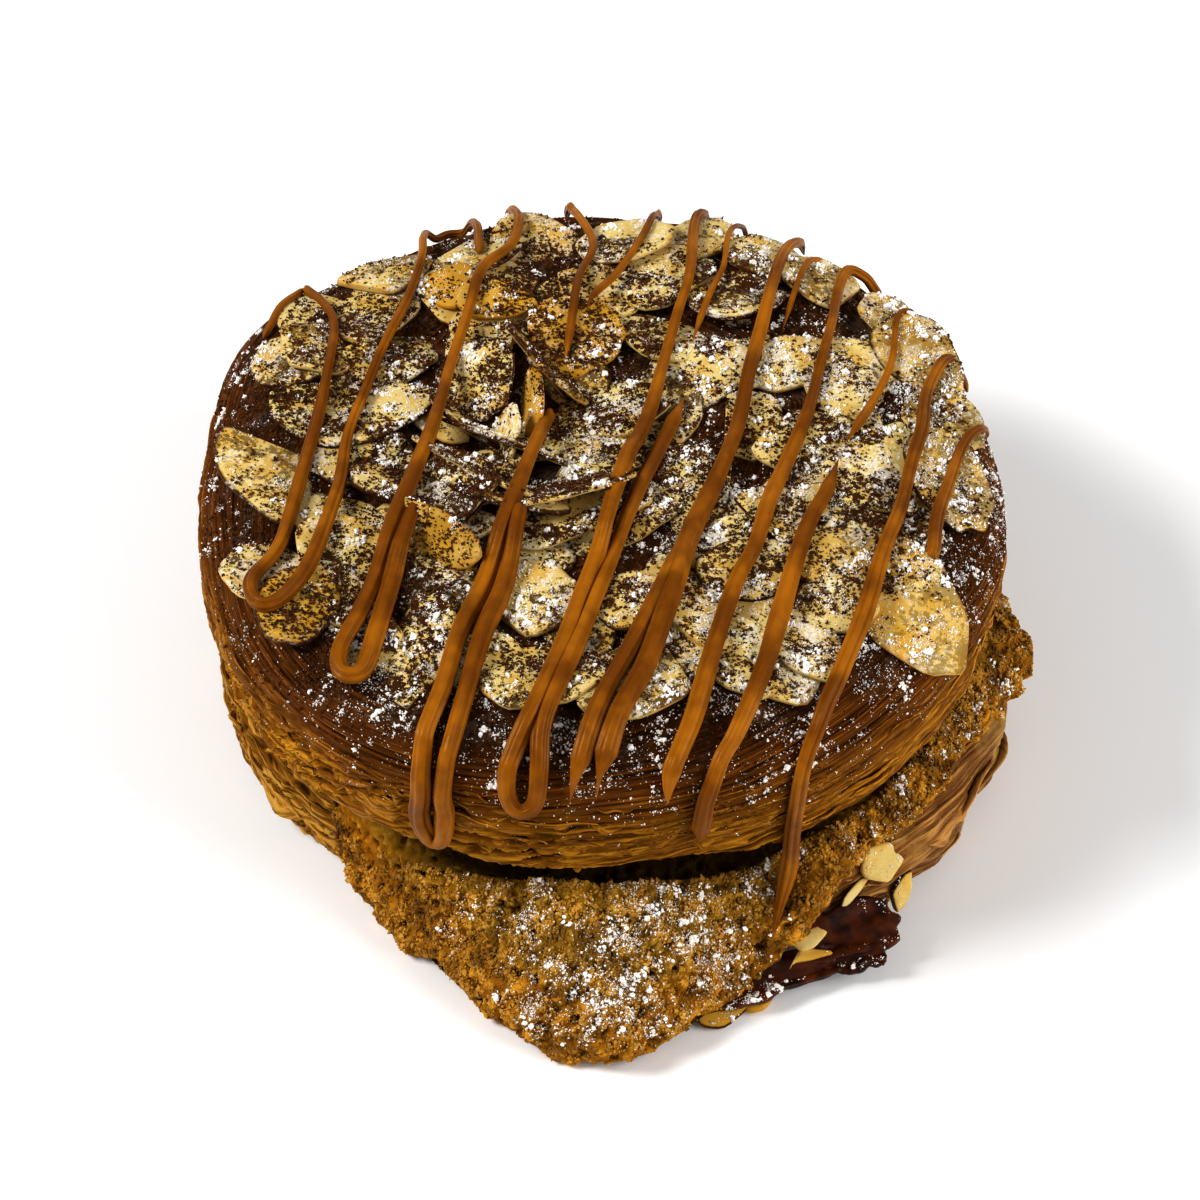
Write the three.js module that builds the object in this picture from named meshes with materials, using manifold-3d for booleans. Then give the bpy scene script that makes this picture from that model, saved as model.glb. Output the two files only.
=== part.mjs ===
// A round twice-baked croissant: a puck of laminated dough, split across its middle, filled with
// almond cream that has run out at the front, topped with sliced almonds and strands of caramel.
// Units are millimetres and +Z is up. The origin is the middle of the flat underside, on the axis
// of the upper half. -Y is the front, where the almond cream runs down in a tongue.
import * as THREE from 'three';
import { mergeVertices } from 'three/addons/utils/BufferGeometryUtils.js';
import { ImprovedNoise } from 'three/addons/math/ImprovedNoise.js';
import Module from 'manifold-3d';

const wasm = await Module();
wasm.setup();

// Driving dimensions.
const crownRadius = 57.5;
const crownBottom = 22.3;
const crownTop = 45.5;
const baseRadius = 55.5;
const baseTop = 15.5;
const layerGap = 0.3;
const ledgeDepth = 0.45;
const dimple = { x: -8, y: 6, radius: 8, depth: 3 };
const shoulder = { share: 0.817, drop: 0.9 };
const rimFall = { share: 0.86, drop: 26 };
const creamInnerRadius = 46;
const tongueReach = 72.6;
const ledgeReach = 56;
const lipTops = { ledge: 17.5, tongue: 5.5, back: 20, rightLobe: 1.5 };
const lipBottoms = { ledge: 12.5, tongue: 0.4, back: 16.6 };
const slopeBends = { ledge: 1.6, tongue: 2.2 };
const sliceThickness = 1.5;
const strandRadius = 1.45;
const strandLift = 3.6;

// Facets.
const crownTurns = 48;
const baseTurns = 48;
const creamTurns = 60;
const crownLayers = 11;
const baseLayers = 9;
const sliceSides = 8;
const strandSides = 4;
const strandStep = 8;

const degrees = THREE.MathUtils.degToRad;
const { lerp, clamp } = THREE.MathUtils;
const noise = new ImprovedNoise();

const crownMaterial = new THREE.MeshStandardMaterial({ color: 0x6b3a12, roughness: 0.6, metalness: 0 });
const creamMaterial = new THREE.MeshStandardMaterial({ color: 0x8a5a1c, roughness: 0.85, metalness: 0 });
const baseMaterial = new THREE.MeshStandardMaterial({ color: 0x8f5a1a, roughness: 0.7, metalness: 0 });

// Solids.

// Closed meshes become solids, and solids become geometry again.
function solidOf(geometry) {
  const bare = geometry.clone();
  bare.deleteAttribute('normal');
  bare.deleteAttribute('uv');
  const merged = mergeVertices(bare, 1e-3);
  return new wasm.Manifold(new wasm.Mesh({
    numProp: 3,
    vertProperties: new Float32Array(merged.attributes.position.array),
    triVerts: new Uint32Array(merged.index.array),
  }));
}

function meshOf(name, solid, material) {
  const { vertProperties, triVerts } = solid.getMesh();
  const geometry = new THREE.BufferGeometry();
  geometry.setAttribute('position', new THREE.BufferAttribute(vertProperties, 3));
  geometry.setIndex(new THREE.BufferAttribute(triVerts, 1));
  geometry.computeVertexNormals();
  const mesh = new THREE.Mesh(geometry, material);
  mesh.name = name;
  return mesh;
}

// Toppings that touch nothing fall away, so only the largest piece of a joined solid is kept.
function largestPiece(solid) {
  return solid.decompose().reduce((best, piece) => (piece.volume() > best.volume() ? piece : best));
}

// A body turned round the Z axis whose outline may change with the angle. profileAt gives the
// same number of [radius, height] pairs at every angle, from the axis below to the axis above.
function turnedBody(turns, profileAt) {
  const first = profileAt(0).map(([r, z]) => new THREE.Vector2(r, z));
  const geometry = new THREE.LatheGeometry(first, turns);
  const place = geometry.attributes.position;
  for (let i = 0; i < place.count; i++) {
    const turn = (Math.floor(i / first.length) % turns) / turns * 2 * Math.PI;
    const [r, z] = profileAt(turn)[i % first.length];
    place.setXYZ(i, r * Math.cos(turn), r * Math.sin(turn), z);
  }
  return solidOf(geometry);
}

// Shapes round the axis.

// 1 at an angle in degrees, falling smoothly to 0 at a half width to each side of it.
function swell(turn, at, halfWidth) {
  const away = awayFrom(turn, at) / halfWidth;
  return away < 1 ? Math.cos(away * Math.PI / 2) ** 2 : 0;
}

// 1 within a half width of an angle, fading to 0 over some degrees more.
function plateau(turn, at, halfWidth, fade) {
  return 1 - THREE.MathUtils.smoothstep(awayFrom(turn, at), halfWidth, halfWidth + fade);
}

// 1 across a blunt tip, falling in a straight line to 0 at a half width to each side of it.
function wedge(turn, at, tip, halfWidth) {
  return clamp((halfWidth - awayFrom(turn, at)) / (halfWidth - tip), 0, 1);
}

function awayFrom(turn, at) {
  const gap = THREE.MathUtils.euclideanModulo(turn - degrees(at) + Math.PI, 2 * Math.PI) - Math.PI;
  return Math.abs(THREE.MathUtils.radToDeg(gap));
}

// The layers of the dough: a smooth side becomes a given count of steps in and out.
function layeredSide(points, count) {
  const curve = new THREE.SplineCurve(points.map(([r, z]) => new THREE.Vector2(r, z)));
  return Array.from({ length: count }, (_, i) => {
    const { x: r, y: z } = curve.getPoint(i / (count - 1));
    return [r + (i % 2 ? ledgeDepth : -ledgeDepth), z];
  });
}

// Upper half.

const crownSide = layeredSide([
  [0.95 * crownRadius, crownBottom + 1.6],
  [0.985 * crownRadius, crownBottom + 6],
  [crownRadius, crownBottom + 13.2],
  [0.983 * crownRadius, crownTop - 5.5],
  [0.922 * crownRadius, crownTop - 2.5],
], crownLayers);
const crownCrest = [
  [shoulder.share * crownRadius, crownTop - shoulder.drop],
  [0.6 * crownRadius, crownTop - 0.3],
  [0.4 * crownRadius, crownTop],
  [0.2 * crownRadius, crownTop],
];

// The rim isn't a true circle: it bulges at the back left, and draws in at the left and the right.
function crownStretch(turn) {
  const bulges = 0.045 * swell(turn, 148, 26) - 0.02 * swell(turn, -175, 45) - 0.032 * swell(turn, 18, 42);
  return 1 + bulges + 0.006 * Math.sin(2 * turn + 0.6) + 0.005 * Math.sin(5 * turn);
}

// The layers rise and dip a little on their way round the rim.
function rimWave(turn) {
  return 0.5 * Math.sin(3 * turn + 1) + 0.3 * Math.sin(8 * turn);
}

// The middle of the spiral has sunk.
function sunk(x, y) {
  const away = Math.hypot(x - dimple.x, y - dimple.y) / dimple.radius;
  return dimple.depth * Math.exp(-away * away);
}

function crown() {
  return turnedBody(crownTurns, (turn) => {
    const stretch = crownStretch(turn);
    const wave = rimWave(turn);
    const underside = [[0, crownBottom], [0.78 * crownRadius, crownBottom]];
    const side = crownSide.map(([r, z]) => [r * stretch, z + wave]);
    const crest = crownCrest.map(([r, z]) => {
      const x = r * Math.cos(turn);
      const y = r * Math.sin(turn);
      return [r, z - sunk(x, y) + 0.5 * noise.noise(x / 9, y / 9, 0)];
    });
    return [...underside, ...side, ...crest, [0, crownTop - sunk(0, 0)]];
  });
}

// The height of the crown's top at a place, for what lies on it.
function crestHeight(x, y) {
  const r = Math.hypot(x, y) / crownRadius;
  const roundedOff = shoulder.drop * (r / shoulder.share) ** 4;
  const atRim = rimFall.drop * Math.max(0, r - rimFall.share) ** 1.5;
  return crownTop - roundedOff - atRim - sunk(x, y);
}

// Sliced almonds.

// Each slice: x, y, turn of its long axis in degrees, length, width, lift off the crust, then how
// far it rocks along its length and rolls across it, in degrees. snapped is how much of its tip
// has broken off.
const crownSlices = [
  { x: -46, y: -3, turn: -67, long: 25, wide: 12, lift: -0.4, rock: 3, roll: -18 },
  { x: -44, y: -22, turn: -32, long: 17, wide: 11, lift: 0, rock: 4, roll: -12 },
  { x: -40, y: -27, turn: 53, long: 15, wide: 11, lift: 0, rock: -8, roll: 10 },
  { x: -39, y: 29, turn: -37, long: 15, wide: 10, lift: 0.6, rock: -6, roll: -8 },
  { x: -32, y: 27, turn: 35, long: 17, wide: 11, lift: 1.4, rock: 4, roll: 6 },
  { x: -40, y: 20, turn: -43, long: 14, wide: 9, lift: 0.8, rock: -6, roll: 10 },
  { x: -31, y: 8, turn: 25, long: 19, wide: 12, lift: 1, rock: -4, roll: 8 },
  { x: -33, y: 0, turn: -3, long: 15, wide: 11, lift: 0.2, rock: 5, roll: 12 },
  { x: -3, y: 23, turn: 3, long: 14, wide: 13.5, lift: 1.6, rock: 3, roll: 16 },
  { x: -18, y: 13, turn: 7, long: 13, wide: 12, lift: 2.2, rock: -8, roll: 20 },
  { x: -9, y: 8, turn: -87, long: 16, wide: 10, lift: 2.4, rock: -10, roll: 64 },
  { x: -7, y: 17, turn: -62, long: 14, wide: 9, lift: 1.5, rock: -14, roll: 72 },
  { x: -16, y: -1, turn: -39, long: 18, wide: 10, lift: 1.6, rock: 6, roll: 20 },
  { x: -25, y: -17, turn: -28, long: 22, wide: 11, lift: 1.8, rock: 4, roll: 48 },
  { x: -22, y: -10, turn: -14, long: 18, wide: 9, lift: 1.8, rock: 4, roll: 18 },
  { x: -23, y: -37, turn: 87, long: 21, wide: 9.5, lift: 0.6, rock: 3, roll: -6, snapped: 0.16 },
  { x: -31, y: -36, turn: -42, long: 15, wide: 11, lift: 0, rock: 4, roll: -8, snapped: 0.25 },
  { x: -9, y: -27, turn: -9, long: 15, wide: 14, lift: 1.2, rock: 3, roll: 6 },
  { x: -7, y: -41, turn: 7, long: 18, wide: 12, lift: 0.2, rock: -3, roll: 5 },
  { x: 6, y: -41, turn: 30, long: 20, wide: 12, lift: 0.6, rock: 4, roll: 8 },
  { x: 2, y: 9, turn: 12, long: 17, wide: 12, lift: 0.8, rock: 5, roll: 12 },
  { x: 2, y: 0, turn: 16, long: 16, wide: 10, lift: 1.4, rock: -5, roll: 18 },
  { x: 12, y: -5, turn: 60, long: 16, wide: 13, lift: 1.4, rock: -6, roll: 8 },
  { x: 15, y: 17, turn: 15, long: 15, wide: 11, lift: 1.4, rock: 5, roll: 12 },
  { x: 10, y: 36, turn: 27, long: 15, wide: 12, lift: 0.6, rock: -3, roll: 6 },
  { x: 20, y: 32, turn: 10, long: 15, wide: 11, lift: 1.2, rock: 4, roll: 8 },
  { x: 25, y: 41, turn: -32, long: 15, wide: 11, lift: 0, rock: 4, roll: 12 },
  { x: 4, y: 45, turn: 17, long: 15, wide: 11, lift: 0.2, rock: 3, roll: 12 },
  { x: 43, y: 27, turn: -61, long: 15, wide: 10, lift: 0, rock: 4, roll: 16 },
  { x: 46, y: 20, turn: -59, long: 19, wide: 11, lift: 0.8, rock: -3, roll: 20 },
  { x: 49, y: 7, turn: -55, long: 15, wide: 10, lift: 0.4, rock: 4, roll: 26 },
  { x: 48, y: -5, turn: -73, long: 20, wide: 12, lift: 0.4, rock: -3, roll: 16 },
  { x: 39, y: -2, turn: 53, long: 20, wide: 12, lift: 0.8, rock: 4, roll: -6 },
  { x: 34, y: 13, turn: 24, long: 17, wide: 12, lift: 1, rock: -4, roll: 6 },
  { x: 29, y: 3, turn: 15, long: 17, wide: 11, lift: 1.2, rock: 4, roll: 10 },
  { x: 20, y: -17, turn: 17, long: 17, wide: 10, lift: 1.6, rock: 3, roll: 20 },
  { x: 21, y: -22, turn: 12, long: 16, wide: 10, lift: 0.8, rock: -3, roll: 18 },
  { x: 26, y: -12, turn: 21, long: 24, wide: 11, lift: 1.8, rock: 3, roll: 14 },
  { x: 33, y: -19, turn: 21, long: 16, wide: 10, lift: 1, rock: -4, roll: 14 },
  { x: 42, y: -28, turn: -62, long: 22, wide: 14, lift: -0.2, rock: -7, roll: -8 },
  { x: 28, y: -35, turn: -55, long: 13, wide: 10, lift: 0.2, rock: 6, roll: 12, snapped: 0.4 },
  { x: -18, y: 42, turn: 20, long: 15, wide: 11, lift: 0.2, rock: 3, roll: 12 },
];

// An egg-shaped slice, thin, narrowing to a tip, which may have snapped off.
function almondSlice({ long, wide, snapped = 0 }) {
  const outline = new THREE.Shape();
  for (let i = 0; i < sliceSides; i++) {
    const angle = (i + 0.5) / sliceSides * 2 * Math.PI;
    const along = Math.cos(angle);
    const x = Math.min(along, 1 - 2 * snapped) * long / 2;
    const y = Math.sin(angle) * wide / 2 * (1 - 0.28 * along);
    if (i) outline.lineTo(x, y);
    else outline.moveTo(x, y);
  }
  outline.closePath();
  const geometry = new THREE.ExtrudeGeometry(outline, { depth: sliceThickness, bevelEnabled: false });
  return geometry.translate(0, 0, -sliceThickness / 2);
}

function turnedSlice({ turn, rock, roll, ...size }) {
  const way = new THREE.Euler(degrees(roll), degrees(-rock), degrees(turn), 'ZYX');
  return almondSlice(size).applyMatrix4(new THREE.Matrix4().makeRotationFromEuler(way));
}

function layOnCrown(slice) {
  const height = crestHeight(slice.x, slice.y) + slice.lift + sliceThickness / 2;
  return solidOf(turnedSlice(slice).translate(slice.x, slice.y, height));
}

function standOnTable(slice) {
  const geometry = turnedSlice(slice);
  geometry.computeBoundingBox();
  return solidOf(geometry.translate(slice.x, slice.y, slice.lift - geometry.boundingBox.min.z));
}

// Caramel.

// Each strand's route, as x and y on top of the almonds, with a height where it hangs at the side.
const caramelRoutes = [
  [[-43, 36, 42], [-47, 31, 45], [-48, 26, 43]],
  [[-43, 36, 41], [-40, 31], [-38, 24], [-39.5, 6], [-41.5, -6], [-43.5, -17], [-47, -24, 44.5],
    [-46, -28.5, 44], [-43, -28], [-39, -21], [-36, -8], [-35, 3], [-32, 16], [-28, 30], [-26, 41],
    [-26, 50, 43.5], [-22, 54, 40], [-18.5, 50, 44], [-17.5, 41]],
  [[-14, 56, 39], [-12, 50, 44.5], [-13, 42], [-17, 35], [-19, 25], [-21, 15], [-23, 3], [-25, -6],
    [-28.5, -13], [-30, -22], [-32.5, -31], [-34.5, -37], [-34.5, -40.5, 46], [-31.5, -40.5, 46], [-30, -36],
    [-26.5, -22], [-25, -13]],
  [[-5, 56.5, 38.5], [-3, 51, 44.5], [-1, 43], [-3, 35], [-4, 25], [-5, 17]],
  [[-7, 10], [-8, 3], [-10.5, -7], [-13, -15], [-16, -25], [-19, -34], [-21, -43], [-23.5, -50, 44.5],
    [-24.5, -53.5, 38], [-24.5, -53, 30], [-22.5, -52.5, 26.5], [-20.5, -53.5, 30], [-20.5, -54.5, 38],
    [-19, -51, 44.5], [-17, -43], [-15, -34], [-12.5, -25], [-10.5, -16]],
  [[9, 56, 39], [8, 51, 44.5], [6, 44], [2, 35], [-1, 30], [-2, 26]],
  [[16, 54.5, 39.5], [14, 49, 44.8], [13, 36], [11, 27], [9, 17], [7, 7], [4, -3], [2, -11], [0, -19],
    [-3, -28], [-6, -37], [-9, -46], [-11.5, -51, 44.5], [-12.5, -55.5, 40.5], [-10.5, -57.5, 38.5],
    [-8.5, -55.5, 41.5], [-6, -50, 45], [-3.5, -42], [-0.5, -33], [2.5, -22], [5.5, -11], [8.5, -1],
    [12, 11]],
  [[22, 52.5, 39.5], [19, 46, 45], [18, 38], [16, 32], [13, 21]],
  [[30, 48, 40], [27, 42, 45], [25, 34], [23, 24], [21, 15], [19, 4], [16, -6], [13, -14], [11, -21],
    [9, -30], [6, -40], [3, -47], [1, -52.5, 43.5], [-0.5, -57, 40]],
  [[8, -34], [3, -42], [-1, -50, 45], [-4, -55, 42], [-5.5, -57.5, 39.5]],
  [[33, 42.5, 44], [30, 39, 46], [26, 25]],
  [[42, 39, 40], [36, 39, 44.5], [33, 25], [31, 16], [29, 7], [26, -2], [23, -11], [21, -19], [18, -26],
    [14, -41], [12, -48], [10, -53, 43.5], [9, -56, 41], [9, -57.5, 38]],
  [[48, 30, 41], [43, 28, 45.5], [41, 17], [34, 0]],
  [[33, -3], [31, -9], [28, -16], [24, -31], [22, -39], [19.5, -46], [17, -51, 44], [14.5, -55.5, 40],
    [13.5, -56.5, 34], [13.5, -55.5, 28]],
  [[54, 20, 40], [50, 21, 44], [46, 12], [45, 4], [43, -3], [41, -12], [38, -21], [35.5, -30], [32.5, -38],
    [30, -45, 45], [28, -50, 41], [26.5, -51.5, 34], [26, -51, 28]],
  [[55, 8, 42], [51, 3], [48, -6], [46, -13], [45, -21]],
];

// A strand of caramel that lies on the almonds and hangs down at the rim.
function caramelStrand(route) {
  const points = route.map(([x, y, z]) => new THREE.Vector3(x, y, z ?? crestHeight(x, y) + strandLift));
  const path = new THREE.CatmullRomCurve3(points);
  const corners = Array.from({ length: strandSides }, (_, i) => {
    const angle = i / strandSides * 2 * Math.PI;
    return new THREE.Vector2(strandRadius * Math.cos(angle), strandRadius * Math.sin(angle));
  });
  const steps = Math.ceil(path.getLength() / strandStep);
  return solidOf(new THREE.ExtrudeGeometry(new THREE.Shape(corners), { extrudePath: path, steps }));
}

// Almond cream.

// How far out the cream reaches, how far round it has run down to the table, and where it stays
// back between the two halves.
const atFront = (turn) => plateau(turn, -101, 29, 14);
const setBack = (turn) => plateau(turn, 187, 30, 14);

function creamReach(turn) {
  const tongue = (tongueReach - ledgeReach) * (0.66 * wedge(turn, -91, 4, 22) + 0.34 * swell(turn, -84, 44));
  const rightLobes = 6.2 * swell(turn, -11, 22) + 2.6 * swell(turn, -40, 24) + 2.6 * swell(turn, -63, 15);
  const leftLobe = 1.8 * swell(turn, -113, 13);
  const backLobes = 1.8 * swell(turn, 58, 26) + 1.2 * swell(turn, 118, 22);
  const drawnIn = 3 * setBack(turn) + 2.4 * swell(turn, -137, 18);
  return ledgeReach + tongue + rightLobes + leftLobe + backLobes - drawnIn;
}

// The cream's outline at an angle: under the crown, down its crumbly slope, over its lip and back.
const slopeShares = [1, 0.92, 0.78, 0.6, 0.4, 0.2];

function creamProfile(turn) {
  const reach = creamReach(turn);
  const front = atFront(turn);
  const back = setBack(turn);
  const lobeTop = lipTops.rightLobe * swell(turn, -12, 24);
  const lipTop = lerp(lerp(lipTops.ledge, lipTops.tongue, front), lipTops.back, back) + lobeTop;
  const lipBottom = lerp(lerp(lipBottoms.ledge, lipBottoms.tongue, front), lipBottoms.back, back);
  const bend = lerp(slopeBends.ledge, slopeBends.tongue, front);
  const top = crownBottom - layerGap;
  const slope = slopeShares.map((share) => {
    const r = lerp(creamInnerRadius, reach, share);
    const crumb = 1.3 * noise.noise(r / 5 * Math.cos(turn), r / 5 * Math.sin(turn), 4) * share;
    return [r, Math.min(top, lerp(top, lipTop, share ** bend) + crumb)];
  });
  const bulge = 0.3 + 0.8 * noise.noise(9 * Math.cos(turn), 9 * Math.sin(turn), 2);
  const lip = [[reach - 1.6, lipBottom], [reach + bulge, lerp(lipBottom, lipTop, 0.4)]];
  const inside = [[0, baseTop - 1], [creamInnerRadius, lerp(baseTop, lipBottom, 0.2)]];
  return [...inside, ...lip, ...slope, [creamInnerRadius, top], [creamInnerRadius / 2, top], [0, top]];
}

// Pieces of almond that stick out under the cream at the front right. Here lift is the height of
// a slice's lowest corner above the table.
const creamSlices = [
  { x: 32, y: -52, turn: 10, long: 18, wide: 11, lift: 1.5, rock: 8, roll: 16, snapped: 0.12 },
  { x: 36, y: -47.5, turn: 38, long: 14, wide: 9, lift: 3, rock: 10, roll: 34 },
  { x: 24, y: -57, turn: 13, long: 23, wide: 8, lift: 0.8, rock: 3, roll: 12 },
  { x: 17, y: -60, turn: 22, long: 12, wide: 8, lift: 0.3, rock: 0, roll: 4 },
  { x: 27, y: -55, turn: 14, long: 11, wide: 4.5, lift: 5, rock: 8, roll: 8 },
  { x: 38.5, y: -44.5, turn: 38, long: 14, wide: 10, lift: 7, rock: 8, roll: 62 },
  { x: 40.5, y: -45.5, turn: 60, long: 9, wide: 6, lift: 2.5, rock: 40, roll: 50, snapped: 0.2 },
];

// Lower half.

const baseSide = [
  [0.965 * baseRadius, 1.2],
  [0.99 * baseRadius, 4],
  [baseRadius, 8],
  [0.99 * baseRadius, 11.5],
  [0.93 * baseRadius, baseTop - 0.9],
];

// It bulges at the right and draws in at the left.
function baseStretch(turn) {
  const bulges = 0.1 * swell(turn, -30, 50) - 0.054 * swell(turn, -128, 35) - 0.02 * swell(turn, -160, 28);
  return 1 + bulges + 0.004 * Math.sin(3 * turn) + 0.004 * Math.sin(7 * turn + 2);
}

// A body in the form of the lower half, with the given side and larger all round by grow.
function baseBody(side, grow) {
  return turnedBody(baseTurns, (turn) => {
    const stretch = baseStretch(turn);
    const wave = 0.3 * Math.sin(4 * turn) + 0.2 * Math.sin(9 * turn + 1);
    const wall = side.map(([r, z]) => [r * stretch + grow, z + wave + (z > baseTop / 2 ? grow : -grow)]);
    return [[0, -grow], [0.94 * baseRadius + grow, -grow], ...wall, [0.8 * baseRadius, baseTop + grow],
      [0, baseTop + grow]];
  });
}

// The whole.

const crownToppings = [...crownSlices.map(layOnCrown), ...caramelRoutes.map(caramelStrand)];
const upperHalf = largestPiece(wasm.Manifold.union([crown(), ...crownToppings]));

const creamWithSlices = wasm.Manifold.union([
  turnedBody(creamTurns, creamProfile),
  ...creamSlices.map(standOnTable),
]);
const base = baseBody(layeredSide(baseSide, baseLayers), 0);
const baseSpace = baseBody(baseSide, layerGap + ledgeDepth);
const almondCream = largestPiece(creamWithSlices.subtract(baseSpace));

const croissant = new THREE.Group();
croissant.add(
  meshOf('croissant_base', base, baseMaterial),
  meshOf('almond_cream', almondCream, creamMaterial),
  meshOf('croissant_top', upperHalf, crownMaterial),
);

export default croissant;
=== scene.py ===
import math

import bpy
import numpy as np
from mathutils import Euler, Matrix, Vector
from mathutils.bvhtree import BVHTree


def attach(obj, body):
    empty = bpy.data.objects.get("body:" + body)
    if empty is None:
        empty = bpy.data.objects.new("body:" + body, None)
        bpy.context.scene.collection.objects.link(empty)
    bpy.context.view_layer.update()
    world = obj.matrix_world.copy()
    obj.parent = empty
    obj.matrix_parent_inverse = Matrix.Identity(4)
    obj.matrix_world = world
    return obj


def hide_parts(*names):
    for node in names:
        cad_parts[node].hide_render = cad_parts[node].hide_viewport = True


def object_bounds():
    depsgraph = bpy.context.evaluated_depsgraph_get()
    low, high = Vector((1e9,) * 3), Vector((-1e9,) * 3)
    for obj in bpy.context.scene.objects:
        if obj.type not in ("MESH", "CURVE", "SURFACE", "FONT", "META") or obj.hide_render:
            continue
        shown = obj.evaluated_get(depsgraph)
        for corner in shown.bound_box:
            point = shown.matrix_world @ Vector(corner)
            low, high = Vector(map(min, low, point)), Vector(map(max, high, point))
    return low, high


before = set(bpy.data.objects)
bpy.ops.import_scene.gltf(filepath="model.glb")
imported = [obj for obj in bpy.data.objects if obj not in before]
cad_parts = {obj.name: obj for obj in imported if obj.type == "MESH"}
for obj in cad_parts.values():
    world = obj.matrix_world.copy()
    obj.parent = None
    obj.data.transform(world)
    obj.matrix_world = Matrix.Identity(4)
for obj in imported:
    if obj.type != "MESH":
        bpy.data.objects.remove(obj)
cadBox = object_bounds()
mm = 0.001
lowCorner, highCorner = np.array(cadBox) / mm


def latticeRandom(seed, *cells):
    # one repeatable number from 0 to 1 for every whole-number cell
    mixed = np.full(cells[0].shape, seed * 1013904223 + 12345, np.int64)
    for cell, prime in zip(cells, (374761393, 668265263, 1274126177)):
        mixed = mixed ^ (cell.astype(np.int64) * prime)
        mixed = ((mixed ^ (mixed >> 15)) * 2246822519) & 0xffffffff
    mixed = mixed ^ (mixed >> 13)
    return (mixed & 0xffffff) / 0xffffff


def softNoise(seed, x, y, z=None, wrap=None):
    # smooth noise from 0 to 1, which closes on itself after wrap cells of x
    x, y = np.broadcast_arrays(np.asarray(x, float), np.asarray(y, float))
    z = np.zeros_like(x) if z is None else np.broadcast_to(z, x.shape)
    floors = [np.floor(v) for v in (x, y, z)]
    eased = [(v - f) ** 2 * (3 - 2 * (v - f)) for v, f in zip((x, y, z), floors)]
    total = np.zeros_like(x)
    for corner in range(8):
        steps = [corner & 1, corner >> 1 & 1, corner >> 2]
        cells = [f + step for f, step in zip(floors, steps)]
        if wrap:
            cells[0] = cells[0] % wrap
        weight = np.ones_like(x)
        for ease, step in zip(eased, steps):
            weight = weight * (ease if step else 1 - ease)
        total += weight * latticeRandom(seed, *cells)
    return total


def crumbCells(seed, x, y, z):
    # how far the nearest and the second nearest of scattered points are, one to each unit cell
    near = np.full(x.shape, 9.0)
    second = near.copy()
    base = [np.floor(v) for v in (x, y, z)]
    for neighbour in range(27):
        steps = (neighbour % 3 - 1, neighbour // 3 % 3 - 1, neighbour // 9 - 1)
        cells = [b + step for b, step in zip(base, steps)]
        away = sum((cell + latticeRandom(seed + k, *cells) - v) ** 2
                   for k, (cell, v) in enumerate(zip(cells, (x, y, z))))
        away = np.sqrt(away)
        second = np.minimum(second, np.maximum(near, away))
        near = np.minimum(near, away)
    return near, second


def ease(value, low, high):
    t = np.clip((value - low) / (high - low), 0, 1)
    return t * t * (3 - 2 * t)


def awayFrom(turn, at):
    # degrees between a turn, in radians, and a bearing in degrees
    return np.abs((np.degrees(turn) - at + 180) % 360 - 180)


def swell(turn, at, halfWidth):
    return np.cos(np.minimum(awayFrom(turn, at) / halfWidth, 1) * math.pi / 2) ** 2


def plateau(turn, at, halfWidth, fade):
    return 1 - ease(awayFrom(turn, at), halfWidth, halfWidth + fade)


def wedge(turn, at, tip, halfWidth):
    return np.clip((halfWidth - awayFrom(turn, at)) / (halfWidth - tip), 0, 1)


def curveThrough(points, count):
    # count evenly spaced points on a smooth curve through a few
    points = np.array(points, float)
    ends = np.vstack([2 * points[0] - points[1], points, 2 * points[-1] - points[-2]])
    t = np.linspace(0, 1, 40, endpoint=False)[:, None]
    fine = []
    for a, b, c, d in zip(ends, ends[1:], ends[2:], ends[3:]):
        fine.append(0.5 * (2 * b + (c - a) * t + (2 * a - 5 * b + 4 * c - d) * t ** 2
                           + (3 * b - a - 3 * c + d) * t ** 3))
    fine = np.vstack(fine + [points[-1:]])
    run = np.r_[0, np.cumsum(np.linalg.norm(np.diff(fine, axis=0), axis=1))]
    want = np.linspace(0, run[-1], count)
    return np.column_stack([np.interp(want, run, column) for column in fine.T])


def smoothLine(values, rounds):
    # evens out a line, with its ends kept where they are
    for _ in range(rounds):
        middle = (values[:-2] + 2 * values[1:-1] + values[2:]) / 4
        values = np.concatenate([values[:1], middle, values[-1:]])
    return values


def pick(*pieces):
    # selects these pieces alone, with the first one active
    bpy.ops.object.select_all(action="DESELECT")
    for piece in pieces:
        piece.select_set(True)
    if pieces:
        bpy.context.view_layer.objects.active = pieces[0]


def newObject(name, data):
    made = bpy.data.objects.new(name, data)
    bpy.context.scene.collection.objects.link(made)
    return made


def placesOf(piece):
    place = np.empty(len(piece.data.vertices) * 3)
    piece.data.vertices.foreach_get("co", place)
    return place.reshape(-1, 3)


def setPlaces(piece, place):
    piece.data.vertices.foreach_set("co", place.ravel())
    piece.data.update()


def thicken(piece, thickness):
    # gives a sheet its two sides
    pick(piece)
    wall = piece.modifiers.new("thickness", "SOLIDIFY")
    wall.thickness = thickness * mm
    wall.offset = 0
    bpy.ops.object.modifier_apply(modifier="thickness")


def tidyMesh(piece, merge=0.0):
    # closes seams and turns all faces outwards
    pick(piece)
    bpy.ops.object.mode_set(mode="EDIT")
    bpy.ops.mesh.select_all(action="SELECT")
    if merge:
        bpy.ops.mesh.remove_doubles(threshold=merge)
    bpy.ops.mesh.normals_make_consistent(inside=False)
    bpy.ops.object.mode_set(mode="OBJECT")
    bpy.ops.object.shade_smooth()


def keepInside(piece):
    # nothing stands out beyond the solid parts' box
    setPlaces(piece, np.clip(placesOf(piece), lowCorner * mm, highCorner * mm))


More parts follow.
